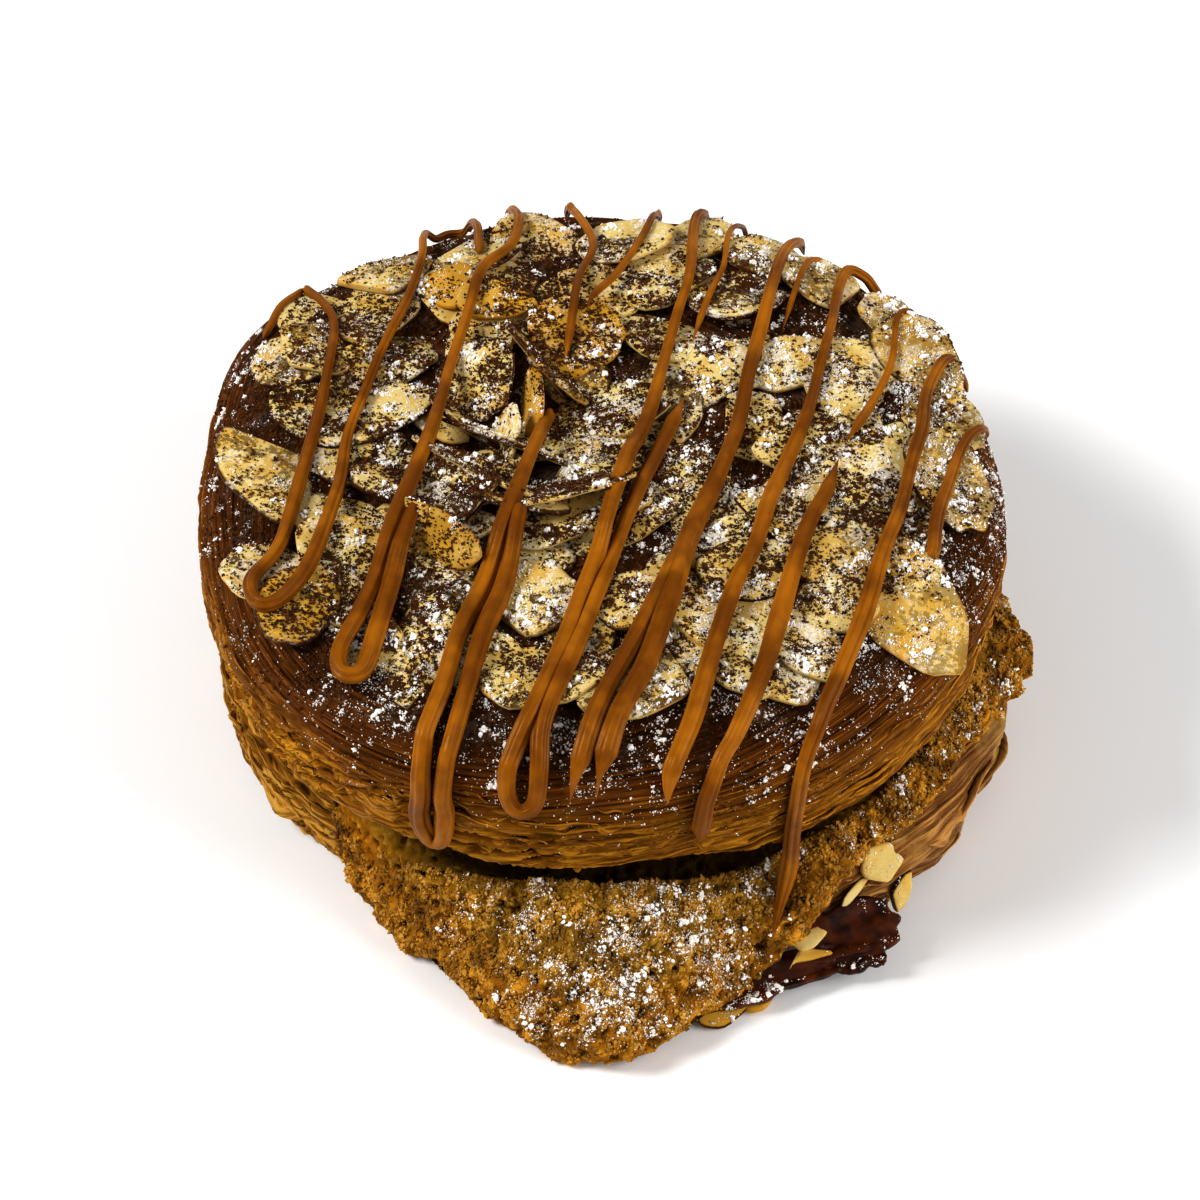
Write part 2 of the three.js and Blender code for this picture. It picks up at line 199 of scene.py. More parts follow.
def storeValue(piece, name, values):
    layer = piece.data.attributes.new(name, "FLOAT", "POINT")
    layer.data.foreach_set("value", np.asarray(values, np.float32).ravel())


def rolledBody(name, rows, turns, place, attributes):
    # a grid rolled round Z: place holds x, y and z in mm for every turn and row
    pick()
    bpy.ops.mesh.primitive_grid_add(x_subdivisions=rows - 1, y_subdivisions=turns, size=1)
    piece = bpy.context.object
    piece.name = piece.data.name = name
    flat = placesOf(piece)
    row = np.rint((flat[:, 0] + 0.5) * (rows - 1)).astype(int)
    turn = np.rint((flat[:, 1] + 0.5) * turns).astype(int) % turns
    place = np.clip(place, lowCorner, highCorner)
    setPlaces(piece, place[turn, row] * mm)
    for key, values in attributes.items():
        storeValue(piece, key, values[turn, row])
    tidyMesh(piece, merge=1e-6)
    return piece


def gridOf(profile, turns, firstRow):
    # turn, way along the profile from its first row that shows, radius and height, at every turn and row
    run = np.r_[0, np.cumsum(np.linalg.norm(np.diff(profile, axis=0), axis=1))]
    turn = np.linspace(0, 2 * math.pi, turns, endpoint=False)[:, None]
    return np.broadcast_arrays(turn, run - run[firstRow], profile[:, 0], profile[:, 1])


def surfaceNormals(place):
    # outward normals of a rolled grid, from its neighbours round and along
    around = np.roll(place, -1, axis=0) - np.roll(place, 1, axis=0)
    along = np.gradient(place, axis=1)
    normal = np.cross(around, along)
    length = np.linalg.norm(normal, axis=2, keepdims=True)
    return normal / np.maximum(length, 1e-9)


def smoothed(values, reach):
    # a running mean over a rolled grid, both ways
    mean = values.copy()
    for step in range(1, reach + 1):
        mean += np.roll(values, step, axis=0) + np.roll(values, -step, axis=0)
    mean /= 2 * reach + 1
    padded = np.pad(mean, ((0, 0), (reach, reach)), mode="edge")
    rows = values.shape[1]
    return sum(padded[:, step:step + rows] for step in range(2 * reach + 1)) / (2 * reach + 1)


def reliefOf(height, reach, depth):
    # 0 in the pits, 0.5 level and 1 on the crests
    return np.clip(0.5 + (height - smoothed(height, reach)) / depth, 0, 1)


def joined(name, parts):
    pick(*parts)
    bpy.ops.object.join()
    piece = bpy.context.object
    piece.name = piece.data.name = name
    return piece


def meshFromArrays(name, corners, faces):
    mesh = bpy.data.meshes.new(name)
    mesh.from_pydata(corners.tolist(), [], faces.tolist())
    return newObject(name, mesh)


def treeOf(*pieces):
    # one search tree over the surfaces of several pieces
    corners, polygons = [], []
    for piece in pieces:
        start = len(corners)
        corners += [v.co.copy() for v in piece.data.vertices]
        polygons += [[start + i for i in p.vertices] for p in piece.data.polygons]
    return BVHTree.FromPolygons(corners, polygons)


def ringNoise(seed, turn, climb, length, height, radius=57.0):
    # soft lumps on the side, length along the rim by height up it, in mm
    cells = round(2 * math.pi * radius / length)
    return softNoise(seed, turn / (2 * math.pi) * cells, climb / height, wrap=cells)


def ringRidges(seed, turn, climb, length, height, sharp=0.45):
    # thin crests that run along the rim, 1 on the crest and 0 between
    return ease(1 - np.abs(2 * ringNoise(seed, turn, climb, length, height) - 1), sharp, 1.0)


def sheetEdges(seed, turn, layer, pitch):
    # the stacked sheets' edges: each rises to its lip, drops sharply, and fades in and out along the rim
    slow = ringNoise(seed, turn, layer, 30, 6) - 0.5
    quick = ringNoise(seed + 1, turn, layer, 10, 2.5) - 0.5
    level = layer / pitch + slow + 0.35 * quick
    sheet = np.floor(level)
    share = level - sheet
    strength = 0.15 + 0.85 * ease(ringNoise(seed + 2, turn, sheet * 7.3, 17, 1), 0.25, 0.7)
    return strength * ease(share, 0, 0.72) * (1 - ease(share, 0.82, 1.0))


def wandering(seed, turn, climb, wander):
    # the layers' own height: it rises and dips on the way round
    slow = ringNoise(seed, turn, climb * 0, 46, 1) - 0.5
    quick = ringNoise(seed + 1, turn, climb, 15, 6) - 0.5
    return climb + wander * (2 * slow + quick)


def layeredRelief(seed, turn, layer, look, openness):
    # the height of the dough's layers in mm: fine sheets where tight, lens-shaped cells where open
    swells = ringNoise(seed + 2, turn, layer, 26, 2.3) - 0.5
    edges = 0.8 * sheetEdges(seed + 3, turn, layer, 1.0) + 0.5 * sheetEdges(seed + 8, turn, layer, 0.55)
    hairs = ringRidges(seed + 5, turn, layer, 8, 0.6)
    walls = np.maximum(ringRidges(seed + 6, turn, layer, 4.6, 1.25, 0.6),
                       0.8 * ringRidges(seed + 7, turn, layer, 3.0, 0.85, 0.62))
    tight = 1.4 * look["sheet"] * swells + look["rib"] * (edges - 0.6) + look["hair"] * (hairs - 0.5)
    opened = look["sheet"] * swells + look["cell"] * (walls - 0.5) + 0.3 * look["hair"] * (hairs - 0.5)
    return tight * (1 - openness) + opened * openness


# the upper half, in mm and degrees
crown = {
    "radius": 57.3, "bottom": 22.3, "top": 45.5,
    "turns": 590, "underRows": 4, "lowRows": 12, "sideRows": 118, "shoulderRows": 20, "crestRows": 14,
    "finePoints": 400,
    "dimple": {"x": -8, "y": 6, "radius": 8, "depth": 3},
    "layers": {"wander": 1.5, "sheet": 0.3, "rib": 0.6, "hair": 0.15, "cell": 1.25},
    "openAt": -142, "openHalfWidth": 36,
}


def sunk(x, y):
    # how much lower the dimple makes the top
    dimple = crown["dimple"]
    away = np.hypot(x - dimple["x"], y - dimple["y"]) / dimple["radius"]
    return dimple["depth"] * np.exp(-away * away)


def crownStretch(turn):
    # how far the rim stands out or in, as a share of the radius
    bulges = 0.045 * swell(turn, 148, 26) - 0.02 * swell(turn, -175, 45) - 0.032 * swell(turn, 18, 42)
    return 1 + bulges + 0.006 * np.sin(2 * turn + 0.6) + 0.005 * np.sin(5 * turn)


def crestHeight(x, y):
    r = np.hypot(x, y) / crown["radius"]
    fall = 0.9 * (r / 0.817) ** 4 + 26 * np.maximum(0, r - 0.86) ** 1.5
    return crown["top"] - fall - sunk(x, y)


def makeCrown():
    radius, low, top, fine = crown["radius"], crown["bottom"], crown["top"], crown["finePoints"]
    under = np.column_stack([np.linspace(0, 0.76 * radius, crown["underRows"]),
                             np.full(crown["underRows"], low)])
    outline = curveThrough([
        (0.78 * radius, low), (0.96 * radius, low + 1.4), (0.988 * radius, low + 5.6),
        (radius, low + 13.2), (0.983 * radius, top - 5.5), (0.922 * radius, top - 2.5),
        (0.817 * radius, top - 0.9), (0.7 * radius, top - 0.4),
    ], fine)
    # rows stand close together on the side, where the layers show
    lowEnd, sideEnd = np.argmax(outline[:, 1] > low + 1.6), np.argmax(outline[:, 1] > top - 2.2)
    picks = np.r_[np.linspace(0, lowEnd, crown["lowRows"], endpoint=False),
                  np.linspace(lowEnd, sideEnd, crown["sideRows"], endpoint=False),
                  np.linspace(sideEnd, fine - 1, crown["shoulderRows"])]
    side = np.column_stack([np.interp(picks, np.arange(fine), column) for column in outline.T])
    crestR = np.linspace(0.68 * radius, 0, crown["crestRows"])
    crest = np.column_stack([crestR, top - 0.3 * (crestR / (0.6 * radius)) ** 2])
    profile = np.vstack([under, side, crest])
    turn, climb, r, z = gridOf(profile, crown["turns"], crown["underRows"])

    sideShare = ease(r, 0.7 * radius, 0.86 * radius)
    r = r * (1 + (crownStretch(turn) - 1) * sideShare)
    x, y = r * np.cos(turn), r * np.sin(turn)
    wave = (0.5 * np.sin(3 * turn + 1) + 0.3 * np.sin(8 * turn)) * sideShare
    z = z + wave - np.where(z > low + 12, sunk(x, y), 0)
    place = np.stack([x, y, z], axis=2)
    normal = surfaceNormals(place)

    lowSide = 1 - ease(z, low + 9, low + 17)
    openness = np.maximum(plateau(turn, crown["openAt"], crown["openHalfWidth"], 26), 0.2) * lowSide
    layer = wandering(10, turn, climb + 5 * np.sin(2 * turn - 0.5), crown["layers"]["wander"])
    height = layeredRelief(11, turn, layer, crown["layers"], openness)
    strength = sideShare * ease(z, low + 0.3, low + 2) + 0.4 * (1 - sideShare) * (z > low + 12)
    strength = strength * (1 - 0.5 * ease(z, top - 8, top - 2))
    lumps = 0.7 * (softNoise(21, x / 7 + 50, y / 7 + 50, z / 7) - 0.5)
    shown = height * strength + lumps * (z > low + 0.5)
    place = place + normal * shown[..., None]
    place[..., 2] -= 0.5 * np.maximum(height, 0) * lowSide * strength
    place[..., 2] = np.maximum(place[..., 2], low - 0.25)
    return rolledBody("crownCrust", len(profile), crown["turns"], place,
                      {"relief": reliefOf(height, 3, 1.3), "layer": layer, "open": openness})


# the lower half
lower = {
    "radius": 55.5, "top": 15.5,
    "turns": 600, "innerRows": 4, "sideRows": 104,
    "layers": {"wander": 2.6, "sheet": 0.4, "rib": 0.6, "hair": 0.2, "cell": 1.3},
}


def lowerStretch(turn):
    bulges = 0.1 * swell(turn, -30, 50) - 0.054 * swell(turn, -128, 35) - 0.02 * swell(turn, -160, 28)
    return 1 + bulges + 0.004 * np.sin(3 * turn) + 0.004 * np.sin(7 * turn + 2)


def makeLower():
    radius, top = lower["radius"], lower["top"]
    inner = np.linspace(0, 0.9 * radius, lower["innerRows"])
    side = curveThrough([
        (0.935 * radius, 0), (0.965 * radius, 1.2), (0.99 * radius, 4), (radius, 8),
        (0.99 * radius, 11.5), (0.93 * radius, top - 0.9), (0.82 * radius, top),
    ], lower["sideRows"])
    profile = np.vstack([np.column_stack([inner, inner * 0]), side,
                         np.column_stack([inner[-2::-1], inner[-2::-1] * 0 + top])])
    turn, climb, r, z = gridOf(profile, lower["turns"], lower["innerRows"])
    sideShare = ease(r, 0.8 * radius, 0.93 * radius)
    r = r * (1 + (lowerStretch(turn) - 1) * sideShare)
    place = np.stack([r * np.cos(turn), r * np.sin(turn), z], axis=2)
    normal = surfaceNormals(place)
    layer = wandering(40, turn, climb + 8 * np.sin(2 * turn), lower["layers"]["wander"])
    openness = 0.3 + 0.6 * swell(turn, -150, 60)
    height = layeredRelief(41, turn, layer, lower["layers"], openness)
    # at the right front it is folded rather than layered
    folded = plateau(turn, -24, 26, 14)
    folds = 2.6 * (ringNoise(47, turn, climb + 6 * np.sin(2 * turn), 9, 5) - 0.5)
    folds += ringNoise(48, turn, climb, 4, 2.4) - 0.5
    height = height * (1 - 0.65 * folded) + folds * folded
    shown = height * sideShare * ease(z, 0.05, 1.2)
    place = place + normal * shown[..., None]
    place[..., 2] = np.maximum(place[..., 2], 0)
    return rolledBody("lowerCrust", len(profile), lower["turns"], place,
                      {"relief": reliefOf(height, 3, 1.5), "layer": layer})


# loose flakes of dough: bearing in degrees, height, length along the rim, width, lift, and which way
# they peel
doughFlakes = {
    "thickness": 0.2, "steps": 14, "rimRadius": 57, "innerRadius": 52,
    "crown": {"count": 150, "from": 26.0, "to": 38.0, "seed": 61, "placed": [
        (-93, 24.2, 3, 0.9, 0.4, -1), (-58, 25.2, 7, 1.0, 0.7, 1), (-49, 26.5, 8, 1.2, 0.8, 1),
        (-64, 24.6, 4, 0.9, 0.5, -1), (-140, 27.0, 10, 1.3, 0.9, 1), (-152, 29.5, 9, 1.2, 0.8, -1)]},
    "lower": {"count": 130, "from": 1.5, "to": 13.0, "seed": 63, "placed": [
        (-158, 9, 14, 1.8, 1.2, 1), (-148, 6, 12, 1.6, 1.0, -1), (-168, 11, 13, 1.6, 1.1, 1),
        (-28, 8, 13, 1.9, 1.1, 1), (-36, 10, 11, 1.8, 1.1, -1), (-20, 5, 12, 1.6, 1.0, 1)]},
}


def makeFlakes(name, look, side):
    # thin torn strips: one long edge grows out of the side, the other lifts off it
    draw = np.random.default_rng(look["seed"])
    rows = list(look["placed"])
    for _ in range(look["count"]):
        rows.append((draw.uniform(-180, 180), draw.uniform(look["from"], look["to"]),
                     draw.uniform(4, 12), draw.uniform(0.5, 1.2), draw.uniform(0.1, 0.4),
                     draw.choice([-1, 1])))
    steps = doughFlakes["steps"]
    u = np.linspace(-1, 1, steps)
    places, faces, relief, layers = [], [], [], []
    for k, (bearing, z, long, wide, lift, way) in enumerate(rows):
        angle = np.radians(bearing) + u * long / 2 / doughFlakes["rimRadius"]
        torn = (1 - np.abs(u) ** 3) * (0.5 + softNoise(look["seed"], u * 1.8 + 9 * k, u * 0 + 2))
        height = z + 0.9 * (softNoise(look["seed"] + 1, u * 1.3 + 9 * k, u * 0 + 5) - 0.5)
        bases = []
        for a, level in zip(angle, height):
            out = Vector((math.cos(a), math.sin(a), 0))
            hit = side.ray_cast((out * 80 + Vector((0, 0, level))) * mm, -out)[0]
            bases.append(hit.xy.length / mm if hit else doughFlakes["innerRadius"])
        for v in (0, 0.5, 1):
            r = smoothLine(np.array(bases), 2) - 0.3 * (1 - v) + lift * torn * v ** 1.5
            rise = height + way * v * wide * torn
            places.append(np.column_stack([r * np.cos(angle), r * np.sin(angle), np.maximum(rise, 0.3)]))
            # relief rises from the root to the lifted edge, so the finish paints the root darker: painted
            # shade where the flake meets the side
            relief.append(np.full(steps, 0.4 + 0.4 * v))
            layers.append(height + 0.5 * v)
        for corner in (3 * k * steps + steps * v + i for v in range(2) for i in range(steps - 1)):
            faces.append((corner, corner + 1, corner + steps + 1, corner + steps))
    piece = meshFromArrays(name, np.vstack(places) * mm, np.array(faces))
    storeValue(piece, "relief", np.concatenate(relief))
    storeValue(piece, "layer", np.concatenate(layers))
    thicken(piece, doughFlakes["thickness"])
    tidyMesh(piece)
    return piece


# the almond cream
cream = {
    "innerRadius": 46, "top": 22.0, "ledgeReach": 56, "tongueReach": 71.6,
    "turns": 700, "frontShare": 0.68, "frontTurn": (-152, -8),
    "innerRows": 4, "lipRows": 28, "slopeRows": 106,
    # size and height in mm of ever smaller lumps and crumbs
    "lumps": ((11, 2.2), (6.2, 2.0), (3.7, 1.5), (1.9, 1.3), (0.9, 0.8)),
    "crumbs": ((1.7, 0.35), (0.9, 0.45)), "pit": 0.9,
    "groove": {"radius": 51.4, "halfWidth": 2.6, "depth": 3.8},
}


def creamReach(turn):
    # how far out the cream comes, all the way round
    tongue = 0.66 * wedge(turn, -91, 4, 22) + 0.34 * swell(turn, -84, 44)
    tongue = tongue * (cream["tongueReach"] - cream["ledgeReach"])
    rightLobes = 5.7 * swell(turn, -11, 22) + 2.6 * swell(turn, -40, 24) + 2.6 * swell(turn, -63, 15)
    leftLobe = 1.8 * swell(turn, -113, 13)
    backLobes = 1.6 * swell(turn, 58, 26) + 1.2 * swell(turn, 118, 22)
    drawnIn = 3 * plateau(turn, 187, 30, 14) + 2.4 * swell(turn, -137, 18)
    return cream["ledgeReach"] + tongue + rightLobes + leftLobe + backLobes - drawnIn


def lumpNoise(seed, size, place, shift=80):
    return softNoise(seed, *(axis / size + shift for axis in place))


def crumbHeight(seed, size, x, y, z):
    # rounded crumbs with creases between them, and some missing
    bend = 0.35 * size * (lumpNoise(seed + 9, size, (x, y, z), 70) - 0.5)
    near, second = crumbCells(seed, *(axis / size + 40 for axis in (x + bend, y - bend, z + bend)))
    return ease(second - near, 0.0, 0.4) * (1.1 - near) - 0.35


def makeCream():
    inner, top = cream["innerRadius"], cream["top"]
    turns = cream["turns"]
    # the columns stand closer together at the front
    frontTurns = round(turns * cream["frontShare"])
    first, last = cream["frontTurn"]
    turn = np.radians(np.r_[np.linspace(first, last, frontTurns, endpoint=False),
                            np.linspace(last, first + 360, turns - frontTurns, endpoint=False)])
    atFront = plateau(turn, -101, 29, 14)
    setBack = plateau(turn, 187, 30, 14)
    reach = creamReach(turn)
    lipTop = 17.5 + (5.5 - 17.5) * atFront
    lipTop = lipTop + (20 - lipTop) * setBack + 1.5 * swell(turn, -12, 24)
    lipBottom = 12.5 + (0.4 - 12.5) * atFront
    lipBottom = lipBottom + (16.6 - lipBottom) * setBack

    rows = []
    bottom = lower["top"] - 1
    for share in np.linspace(0, 1, cream["innerRows"]):
        rows.append((inner * share + 0 * turn, bottom + (lipBottom - bottom) * 0.2 * share))
    for share in np.linspace(0.12, 1, cream["lipRows"] // 2):
        rows.append((inner + (reach - 1.6 - inner) * share,
                     bottom + (lipBottom - bottom) * (0.2 + 0.8 * share)))
    lipHeight = lipTop - lipBottom
    for share in np.linspace(0.04, 1, cream["lipRows"] // 2):
        angle = share * math.pi / 2 * 1.15
        out = -1.6 + 1.9 * math.sin(min(angle, math.pi / 2)) ** 0.7
        rows.append((reach + out, lipBottom + lipHeight * (0.02 + 0.93 * share ** 1.4)))
    for share in np.linspace(0.985, 0, cream["slopeRows"]):
        rows.append((inner + (reach - inner) * share,
                     top + (lipTop - top) * share ** (1.6 + 0.6 * atFront)))
    for share in (0.66, 0.33, 0):
        rows.append((inner * share + 0 * turn, top + 0 * turn))
    r = np.stack([row[0] for row in rows], axis=1)
    z = np.stack([row[1] for row in rows], axis=1)
    turn = turn[:, None] + 0 * r
    x, y = r * np.cos(turn), r * np.sin(turn)
    place = np.stack([x, y, z], axis=2)
    normal = surfaceNormals(place)

    hidden = cream["innerRows"] + cream["lipRows"] // 2
    shown = np.zeros(r.shape[1])
    shown[hidden - 2:-4] = 1
    shown = np.broadcast_to(shown, r.shape) * ease(r, inner - 0.5, inner + 3)
    groove = cream["groove"]
    # the groove's share: it lowers the cream here and is also painted shade in the finish
    grooveAndPaintedShade = np.exp(-((r - groove["radius"]) / groove["halfWidth"]) ** 4) * plateau(turn, -80, 78, 16)
    grooveAndPaintedShade = grooveAndPaintedShade * shown * ease(reach, 53, 66)[:, None]
    grooveAndPaintedShade[:, :hidden + cream["lipRows"] // 2] = 0
    place[..., 2] -= groove["depth"] * grooveAndPaintedShade
    height, spot = 0 * x, (x, y, z)
    for k, (size, swing) in enumerate(cream["crumbs"]):
        loose = ease(lumpNoise(76 + k, 4, spot), 0.25, 0.7)
        height = height + swing * loose * crumbHeight(50 + 2 * k, size, *spot)
    for k, (size, swing) in enumerate(cream["lumps"]):
        height = height + swing * (lumpNoise(66 + k, size, spot) - 0.5)
    pits = ease(lumpNoise(75, 1.5, spot), 0.72, 0.9)
    height = (height - cream["pit"] * pits) * shown
    place = place + normal * height[..., None]
    place[..., 2] = np.clip(place[..., 2], 0.15, top)
    onSlope = np.arange(r.shape[1]) >= hidden + cream["lipRows"] // 2
    # it stays above the lower half, whose height is known at a few shares of its radius
    share = r / (lower["radius"] * lowerStretch(turn))
    cover = np.interp(share, (0, 0.82, 0.93, 0.99, 1.02), (15.5, 15.5, 14.6, 11.5, 3))
    place[..., 2] = np.where(onSlope, np.maximum(place[..., 2], cover + 1.0), place[..., 2])
    # painted shade on the cream just under the upper half's overhang
    shaded = (1 - ease(r, 52, 56)) * onSlope * ease(reach, 55.5, 60)[:, None]
    return rolledBody("creamFilling", r.shape[1], turns, place, {
        "relief": reliefOf(height, 4, 1.4), "rim": ease(r / reach[:, None], 0.86, 1.0),
        "grooveAndPaintedShade": np.maximum(grooveAndPaintedShade, shaded)})


# the sliced almonds: x, y and turn of the long axis, length, width, then for some the lift above what
# it lies on, rock and roll, and last how toasted it is; the later ones lie on the earlier ones
almonds = {
    "thickness": 1.1, "sides": 28, "rings": 9, "sink": 0.45, "fillers": 36, "fillerReach": 46, "seed": 5,
    "chordShare": 0.6, "looseRock": 6, "looseRoll": 13, "heap": (62, 0.5),
    "slices": [
        (-46, -3, -67, 24, 12, 0.45), (-44, -22, -32, 16, 11, 0.3), (-40, -27, 53, 15, 11, 0.75),
        (-35, -18, 24, 13, 12, 0.25), (-40, 29, -37, 15, 10, 0.3), (-34, 27, 35, 16, 11, 0.2),
        (-44, 20, -34, 13, 10, 0.35), (-41, 21, -43, 14, 9, 0.5, 0, 0, 0.45), (-31, 18, 18, 17, 9, 0.25),
        (-32, 8, 25, 20, 12, 0.2), (-33, 0, -3, 16, 11, 0.15), (-22, 32, -67, 13, 9, 0.6),
        (-14, 27, 3, 15, 10, 0.3), (-3, 23, 3, 15, 14, 0.8, 0, 10, 0.85), (2, 9, 12, 18, 12, 0.2),
        (2, 0, 16, 16, 10, 0.2), (12, -5, 60, 17, 13, 0.15), (1, -7, -31, 15, 10, 0.25),
        (-5, -13, 22, 17, 9, 0.2), (-9, -27, -9, 15, 14, 0.3), (5, -27, 29, 14, 11, 0.25),
        (-21, -24, 36, 13, 10, 0.3), (-7, -41, 7, 18, 12, 0.35), (6, -41, 30, 20, 12, 0.35),
        (-23, -36, 87, 21, 10, 0.15), (-31, -36, -42, 15, 11, 0.3), (15, 17, 15, 16, 12, 0.2),
        (10, 36, 27, 16, 12, 0.25), (20, 32, 10, 16, 11, 0.3), (25, 41, -32, 15, 11, 0.35),
        (4, 45, 17, 15, 11, 0.3), (43, 27, -61, 16, 10, 0.5), (46, 20, -59, 19, 11, 0.6),
        (49, 7, -55, 15, 10, 0.5), (48.5, -5, -73, 20, 12, 0.55), (39, -2, 53, 20, 12, 0.2),
        (34, 13, 24, 17, 12, 0.2), (29, 3, 15, 17, 11, 0.2), (27, 19, 25, 15, 10, 0.2),
        (20, -17, 17, 18, 10, 0.2), (21, -22, 12, 16, 10, 0.25), (26, -12, 21, 25, 11, 0.4, 0, 0, 0.2),
        (33, -19, 21, 17, 10, 0.5), (42, -28, -62, 23, 14, 0.6), (28, -35, -55, 14, 11, 0.25),
        (32, -28, -4, 12, 9, 0.3), (41, -17, 30, 14, 10, 0.5), (14, -31, -54, 15, 10, 0.25),
        (19, -38, -66, 14, 10, 0.25), (-18, 42, 20, 15, 11, 0.4), (-21, 33, -62, 10, 8, 0.5, 4, 16, 0.95),
        (-15, 30, -14, 12, 8, 0.9, 3, 14, 0.9), (-27, -7, -30, 17, 10, 0.2, 3, -20, 0.2),
        (-12, 2, -30, 22, 9, 0.2, 3, -34, 0.2), (-16, -5, -36, 24, 9, 0.3, 2, -44, 0.3),
        (-13, -9, -28, 20, 10, 0.2, 3, -24, 0.2), (-19, -9, -34, 15, 10, 0.8, 4, 22, 0.25),
        (-4, -9, 12, 18, 10, 0.6, 4, -28, 0.25), (-25, -17, -28, 23, 9, 0.3, 3, 50, 0.75),
        (-19, 6, -44, 13, 7, 0.2, 0, -40, 0.5), (-8.5, 17, -56, 15, 9, 0.2, -4, -72, 0.5),
        (-6.5, 15, -52, 14, 9, 0.2, -4, -70, 0.45), (-9.5, 9, -86, 11, 8, 0.9, -12, 70, 0.8),
        (-13.2, 3.5, -80, 10, 7, 0.5, -16, 78, 0.1), (-17, 13, -70, 13, 12, 0.9, -8, 30, 0.12),
        (-31, 38, 30, 15, 10, 0.5), (-9, 46, -12, 15, 10, 0.55), (15, 47, 20, 14, 10, 0.4),
        (33, 36, -40, 15, 10, 0.45), (-2, 34, 40, 14, 10, 0.6),
    ],
}


def eggOutline(angle, long, wide):
    # x and y of the rim: narrow at the tip, full at the blunt end
    along = np.cos(angle)
    taper = (1 - 0.26 * along) * (1 - 0.1 * np.maximum(along, 0) ** 4)
    return along * long / 2, np.sin(angle) * wide / 2 * taper


def makeSlice(name, long, wide, seed, toast, snapped=0.0, dusty=1.0):
    # a flattened sphere: thin, slightly cupped, with a ragged edge and perhaps a broken tip
    pick()
    bpy.ops.mesh.primitive_uv_sphere_add(segments=almonds["sides"], ring_count=almonds["rings"], radius=1)
    piece = bpy.context.object
    piece.name = piece.data.name = name
    draw = np.random.default_rng(seed)
    co = placesOf(piece)
    angle = np.arctan2(co[:, 1], co[:, 0])
    flat = np.hypot(co[:, 0], co[:, 1])
    rim = np.clip(flat, 0, 1) ** 0.55
    edgeX, edgeY = eggOutline(angle, long, wide)
    chips = 1 + 0.04 * np.sin(3 * angle + draw.uniform(0, 6))
    chips += 0.03 * np.sin(7 * angle + draw.uniform(0, 6))
    x, y = edgeX * rim * chips, edgeY * rim * chips
    if snapped:
        limit = long / 2 * (1 - 2 * snapped) + 0.5 * np.sin(y * 1.7 + draw.uniform(0, 6))
        x = np.where(x > limit, limit + 0.12 * (x - limit), x)
    if draw.random() < almonds["chordShare"]:
        facing = draw.uniform(0, 2 * math.pi)
        over = x * math.cos(facing) + y * math.sin(facing) - wide * draw.uniform(0.34, 0.46)
        over = np.maximum(over, 0) * 0.96
        x, y = x - over * math.cos(facing), y - over * math.sin(facing)
    thick = almonds["thickness"] * draw.uniform(0.85, 1.2)
    z = thick / 2 * np.sign(co[:, 2]) * np.abs(co[:, 2]) ** 0.45
    cup, twist = draw.uniform(-0.003, 0.006), draw.uniform(-0.006, 0.006)
    z = z + cup * (x * x + 1.5 * y * y) + twist * x * y
    setPlaces(piece, np.column_stack([x, y, z]) * mm)
    storeValue(piece, "rim", rim ** 2)
    storeValue(piece, "toast", np.full(len(co), toast))
    storeValue(piece, "skin", np.full(len(co), 1.0 if draw.random() < 0.3 else 0.0))
    storeValue(piece, "cocoaShare", np.full(len(co), np.clip(1.35 - toast * 1.45, 0.2, 1) * dusty))
    bpy.ops.object.shade_smooth()
    return piece


class Heap:
    # the height of what lies on the crown so far, on a square grid
    def __init__(self, half, pitch):
        self.half, self.pitch = half, pitch
        side = np.arange(-half, half + pitch, pitch)
        self.x, self.y = np.meshgrid(side, side, indexing="ij")
        self.z = crestHeight(self.x, self.y)

    def under(self, x, y):
        i = np.clip(np.rint((x + self.half) / self.pitch).astype(int), 0, self.z.shape[0] - 1)
        j = np.clip(np.rint((y + self.half) / self.pitch).astype(int), 0, self.z.shape[1] - 1)
        return i, j

    def settle(self, x, y, turn, long, wide, steepest=0.5):
        # the plane on which a slice comes to rest: height, and slopes along x and y
        grid = np.linspace(-0.95, 0.95, 13)
        along, across = np.meshgrid(grid, grid)
        inside = along ** 2 + across ** 2 < 0.95
        u, v = along[inside] * long / 2, across[inside] * wide / 2
        c, s = math.cos(turn), math.sin(turn)
        px, py = u * c - v * s, u * s + v * c
        i, j = self.under(x + px, y + py)
        ground = self.z[i, j]
        slopes = np.column_stack([np.ones_like(px), px, py])
        plane = np.linalg.lstsq(slopes, ground, rcond=None)[0]
        steep = math.hypot(plane[1], plane[2])
        if steep > steepest:
            plane[1:] *= steepest / steep
        plane[0] += np.quantile(ground - slopes @ plane, 0.94) - almonds["sink"]
        return plane, (i, j, slopes)

    def pile(self, plane, spots, thick):
        i, j, slopes = spots
        self.z[i, j] = np.maximum(self.z[i, j], slopes @ plane + thick)


